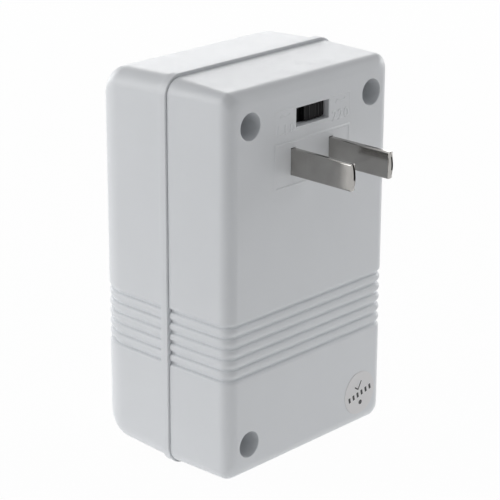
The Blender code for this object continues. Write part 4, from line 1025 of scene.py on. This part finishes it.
def makeBlade(name):
    plan = blade
    rootY = plugFace["innerY"] + plan["rootGap"]
    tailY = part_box("plug_blade_left")[1][1]
    shoulderY = rootY + plan["shoulder"]
    half = plan["halfHeight"]
    thin = plan["halfThickness"]
    leaf = makeStrip(name, (-thin, plan["edgeY"], plan["z"] - half), (thin, shoulderY, plan["z"] + half))
    crownTip(leaf)
    wide = plan["shoulderHalfHeight"]
    shoulder = block("shoulder", (-thin, rootY, plan["z"] - wide), (thin, shoulderY, plan["z"] + wide))
    combine(leaf, shoulder, "UNION")
    tail = plan["tailHalfHeight"]
    low = (-thin, shoulderY - plan["tailOverlap"], plan["z"] - tail)
    combine(leaf, block("tail", low, (thin, tailY, plan["z"] + tail)), "UNION")
    clearSelection()
    bpy.ops.mesh.primitive_cylinder_add(
        vertices=24,
        radius=plan["eyeRadius"],
        depth=4 * overcut,
        location=(0.0, tailY - tail, plan["z"]),
        rotation=(0.0, math.pi / 2, 0.0),
    )
    combine(leaf, settle("eye"))
    low = (-plan["slit"] / 2, plan["edgeY"] - 2 * overcut, plan["z"] - half + plan["fold"])
    high = (plan["slit"] / 2, rootY - plan["rootGap"], plan["z"] + half + overcut)
    combine(leaf, block("slit", low, high))
    return leaf


def openTip(leaf, x, plan):
    # A wedge cut into the tip, where the two leaves stand apart
    tipY = blade["edgeY"] - blade["crown"] - overcut / 2
    x += plan["shift"]
    innerY = blade["edgeY"] + plan["deep"]
    wide = plan["halfWidth"]
    lowZ = blade["z"] + plan["low"]
    highZ = blade["z"] + plan["high"]
    wedge = block("tipGap", (x - wide, tipY, lowZ), (x + wide, innerY, highZ))
    edit(wedge)
    pick(wedge, "FACE", lambda face: face.normal.y > facing)
    bpy.ops.transform.resize(value=tipNarrowing, center_override=(x, innerY, highZ))
    endEdit()
    combine(leaf, wedge)


def paintSlitShade(leaf, x):
    # The insides of the slit, the lens and the tip gap get a near-black finish: painted shade that stands in
    # for the dark inside the slit
    plan = slitShadeFaces
    top = blade["z"] + blade["halfHeight"]
    leaf.data.materials.append(finishes["slit_painted_shade"])
    for face in leaf.data.polygons:
        across = abs(face.center.x - x)
        under = face.center.z < top - plan["belowTop"]
        if across < plan["halfWidth"] and under and face.center.y < plugFace["y"]:
            wall = abs(face.normal.x) > plan["wallTilt"] and face.normal.y > plan["tipTilt"]
            floor = abs(face.normal.z) > plan["floorTilt"] and face.center.z < top - plan["floorBelowTop"]
            if wall or floor:
                face.material_index = 1


def copyBlade(leaf, name, x):
    choose(leaf)
    bpy.ops.object.duplicate(linked=False)
    bpy.ops.transform.translate(value=(x, 0.0, 0.0))
    return settle(name)


def wearNearBlade(leaf):
    # The leaves of the near blade stand a little apart along its top edge, and its tip is a touch thinner
    clearSelection()
    bpy.ops.mesh.primitive_uv_sphere_add(
        segments=24,
        ring_count=12,
        radius=1.0,
        location=(-blade["x"], openLens["y"], blade["z"] + blade["halfHeight"]),
    )
    bpy.context.object.scale = (openLens["halfWidth"], openLens["halfLength"], openLens["depth"])
    combine(leaf, settle("openLens"))
    edit(leaf)
    hinge = blade["edgeY"] + blade["taperLength"]
    sliceAt("Y", hinge)
    pick(leaf, "VERT", lambda vert: vert.co.y < blade["edgeY"] + samePlace)
    middle = (-blade["x"], hinge, blade["z"])
    bpy.ops.transform.resize(value=(blade["taper"], 1.0, 1.0), center_override=middle)
    endEdit()


folded = makeBlade("foldedBlade")
nearBlade = copyBlade(folded, "plugBladeLeft", -blade["x"])
farBlade = copyBlade(folded, "plugBladeRight", blade["x"])
bpy.data.objects.remove(folded, do_unlink=True)
wearNearBlade(nearBlade)
for bladePiece, bladeNode, bladeX in (
    (nearBlade, "plug_blade_left", -blade["x"]),
    (farBlade, "plug_blade_right", blade["x"]),
):
    openTip(bladePiece, bladeX, tipGaps[bladePiece.name])
    smoothOff(bladePiece, blade["smoothAngle"])
    finishPiece(bladePiece, finishes["nickel"], stands=(bladeNode,))
    paintSlitShade(bladePiece, bladeX)
print("plug blades folded")

# Selector slider: a ribbed knob on a dust plate that runs behind the face
slider = {
    "x": 0.0019,
    "halfX": 0.00326,
    "halfZ": 0.00185,
    "frontY": -0.01792,
    "dome": 0.00018,
    "domeSteps": 8,
    "rounding": 0.00018,
    "ribsAt": (-0.00305, -0.00164, 0.00017, 0.00143, 0.00245, 0.00312),
    "ribHalfWidth": 0.00006,
    "ribProud": 0.00010,
    "ribDepth": 0.0009,
    "ribRounding": 0.7,
    "overlap": 0.0002,
    "shieldHalfX": 0.0080,
    "shieldHalfZ": 0.0026,
    "shieldY": -0.0166,
    "shieldThickness": 0.0006,
    "runnerThickness": 0.0012,
    "smoothAngle": 40.0,
}


def domeFront(knob):
    # Cuts the knob into slices and lifts the front of each to a shallow parabola
    plan = slider
    half = plan["domeSteps"] / 2
    places = [step / half - 1 for step in range(1, plan["domeSteps"])]
    for place in places:
        sliceAt("X", plan["x"] + plan["halfX"] * place)
    for place in places:
        across = plan["x"] + plan["halfX"] * place
        pick(knob, "VERT", lambda vert: near(vert.co.x, across) and near(vert.co.y, plan["frontY"]))
        bpy.ops.transform.translate(value=(0.0, -plan["dome"] * (1 - place ** 2), 0.0))


def makeRib(place, z):
    plan = slider
    x = plan["x"] + place
    lift = plan["dome"] * (1 - (place / plan["halfX"]) ** 2)
    front = plan["frontY"] - lift - plan["ribProud"]
    low = (x - plan["ribHalfWidth"], front, z - plan["halfZ"] + plan["overlap"])
    high = (x + plan["ribHalfWidth"], front + plan["ribDepth"], z + plan["halfZ"] - plan["overlap"])
    rib = block("rib", low, high)
    edit(rib)
    pick(rib, "EDGE", lambda edge: all(near(vert.co.y, front) for vert in edge.verts))
    roundEdges(plan["ribHalfWidth"] * plan["ribRounding"], 2)
    endEdit()
    return rib


def makeSlider():
    plan = slider
    z = plugFace["selectorZ"]
    low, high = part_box("selector_knob")
    backY = high[1]
    knobLow = (plan["x"] - plan["halfX"], plan["frontY"], z - plan["halfZ"])
    knobHigh = (plan["x"] + plan["halfX"], backY - plan["overlap"], z + plan["halfZ"])
    knob = block("sliderKnob", knobLow, knobHigh)
    edit(knob)
    domeFront(knob)
    front = plan["frontY"] - plan["dome"] - samePlace
    back = plan["frontY"] + samePlace
    pick(knob, "EDGE", lambda edge: all(front < vert.co.y < back for vert in edge.verts)
         and edge.calc_face_angle(0.0) > sharpFold)
    roundEdges(plan["rounding"], 3)
    endEdit()
    for place in plan["ribsAt"]:
        combine(knob, makeRib(place, z), "UNION")
    shieldLow = (plan["x"] - plan["shieldHalfX"], plan["shieldY"], z - plan["shieldHalfZ"])
    shieldHigh = (
        plan["x"] + plan["shieldHalfX"], plan["shieldY"] + plan["shieldThickness"], z + plan["shieldHalfZ"],
    )
    combine(knob, block("shield", shieldLow, shieldHigh), "UNION")
    plateY = backY - plan["runnerThickness"]
    combine(knob, block("runner", (low[0], plateY, low[2]), (high[0], backY, high[2])), "UNION")
    smoothOff(knob, plan["smoothAngle"])
    finishPiece(knob, finishes["selector_black"], body="selector", stands=("selector_knob",))
    # Worn rib crests shine a little more than the knob
    knob.data.materials.append(finishes["black_nylon"])
    for face in knob.data.polygons:
        away = min(abs(face.center.x - plan["x"] - place) for place in plan["ribsAt"])
        crest = face.center.y < plan["frontY"] - plan["ribProud"] / 2
        if crest and away < plan["ribHalfWidth"] + samePlace / 2:
            face.material_index = 1


makeSlider()
print("slider modelled")

# Round seal over the lower right well, with a plain tick, a row of bars and a dot printed on it
seal = {
    "x": 0.01845,
    "z": 0.00985,
    "radius": 0.0054,
    "thickness": 0.00012,
    "tilt": 12.5,
    "bars": 6,
    "barPitch": 0.0015,
    "barHalfWidth": 0.00034,
    "barHalfHeight": 0.00065,
    "rowGap": 0.0021,
    "printDrop": 0.00025,
    "dotRadius": 0.00058,
    "dotX": 0.0003,
    "dotDrop": 0.0023,
    "ink": 0.00002,
}
# The tick's two strokes. Their turns, in degrees, come on top of the print's tilt
tick = {
    "short": {"along": -0.00085, "up": -0.00018, "halfWidth": 0.00066, "turn": -45.0},
    "long": {"along": 0.00040, "up": 0.00008, "halfWidth": 0.00122, "turn": 48.0},
    "halfHeight": 0.00016,
}


def makeSeal():
    face = plugFace["y"]
    front = face - seal["thickness"]
    paper = barrel("seal", seal["x"], seal["z"], seal["radius"], front, face - samePlace / 2, 96)
    edit(paper)
    pick(paper, "EDGE", lambda edge: all(near(vert.co.y, front) for vert in edge.verts))
    roundEdges(seal["thickness"] / 2, 2)
    endEdit()
    smoothOff(paper)
    finishPiece(paper, finishes["paper"], stands=("inspection_sticker",))


def softenStroke(stroke):
    edit(stroke)
    bpy.ops.mesh.select_all(action="SELECT")
    roundEdges(seal["ink"] / 2, 1)
    endEdit()


def inkStroke(name, along, up, halfWidth, halfHeight, turn=0.0):
    # One printed stroke: placed in the tilted frame of the print, then turned with it
    tilt = math.radians(seal["tilt"])
    x = seal["x"] + along * math.cos(tilt) - up * math.sin(tilt)
    z = seal["z"] - seal["printDrop"] + along * math.sin(tilt) + up * math.cos(tilt)
    top = plugFace["y"] - seal["thickness"] - seal["ink"]
    clearSelection()
    bpy.ops.mesh.primitive_cube_add(size=2.0, location=(x, top + seal["ink"], z))
    bpy.context.object.scale = (halfWidth, seal["ink"], halfHeight)
    bpy.context.object.rotation_euler = (0.0, -tilt - math.radians(turn), 0.0)
    stroke = settle(name)
    softenStroke(stroke)
    return stroke


def printSeal():
    strokes = []
    for name in ("short", "long"):
        plan = tick[name]
        up = seal["rowGap"] + plan["up"]
        size = (plan["halfWidth"], tick["halfHeight"])
        strokes.append(inkStroke(name, plan["along"], up, *size, plan["turn"]))
    for number in range(seal["bars"]):
        along = (number - (seal["bars"] - 1) / 2) * seal["barPitch"]
        strokes.append(inkStroke("bar", along, 0.0, seal["barHalfWidth"], seal["barHalfHeight"]))
    paperY = plugFace["y"] - seal["thickness"]
    dotX = seal["x"] + seal["dotX"]
    dotZ = seal["z"] - seal["printDrop"] - seal["dotDrop"]
    dot = barrel("dot", dotX, dotZ, seal["dotRadius"], paperY - seal["ink"], paperY + seal["ink"], 32)
    softenStroke(dot)
    strokes.append(dot)
    clearSelection()
    for stroke in strokes:
        stroke.select_set(True)
    bpy.context.view_layer.objects.active = dot
    bpy.ops.object.join()
    ink = bpy.context.object
    ink.name = "sealPrint"
    ink.data.name = "sealPrint"
    finishPiece(ink, finishes["black_nylon"])


makeSeal()
printSeal()
print("seal printed")
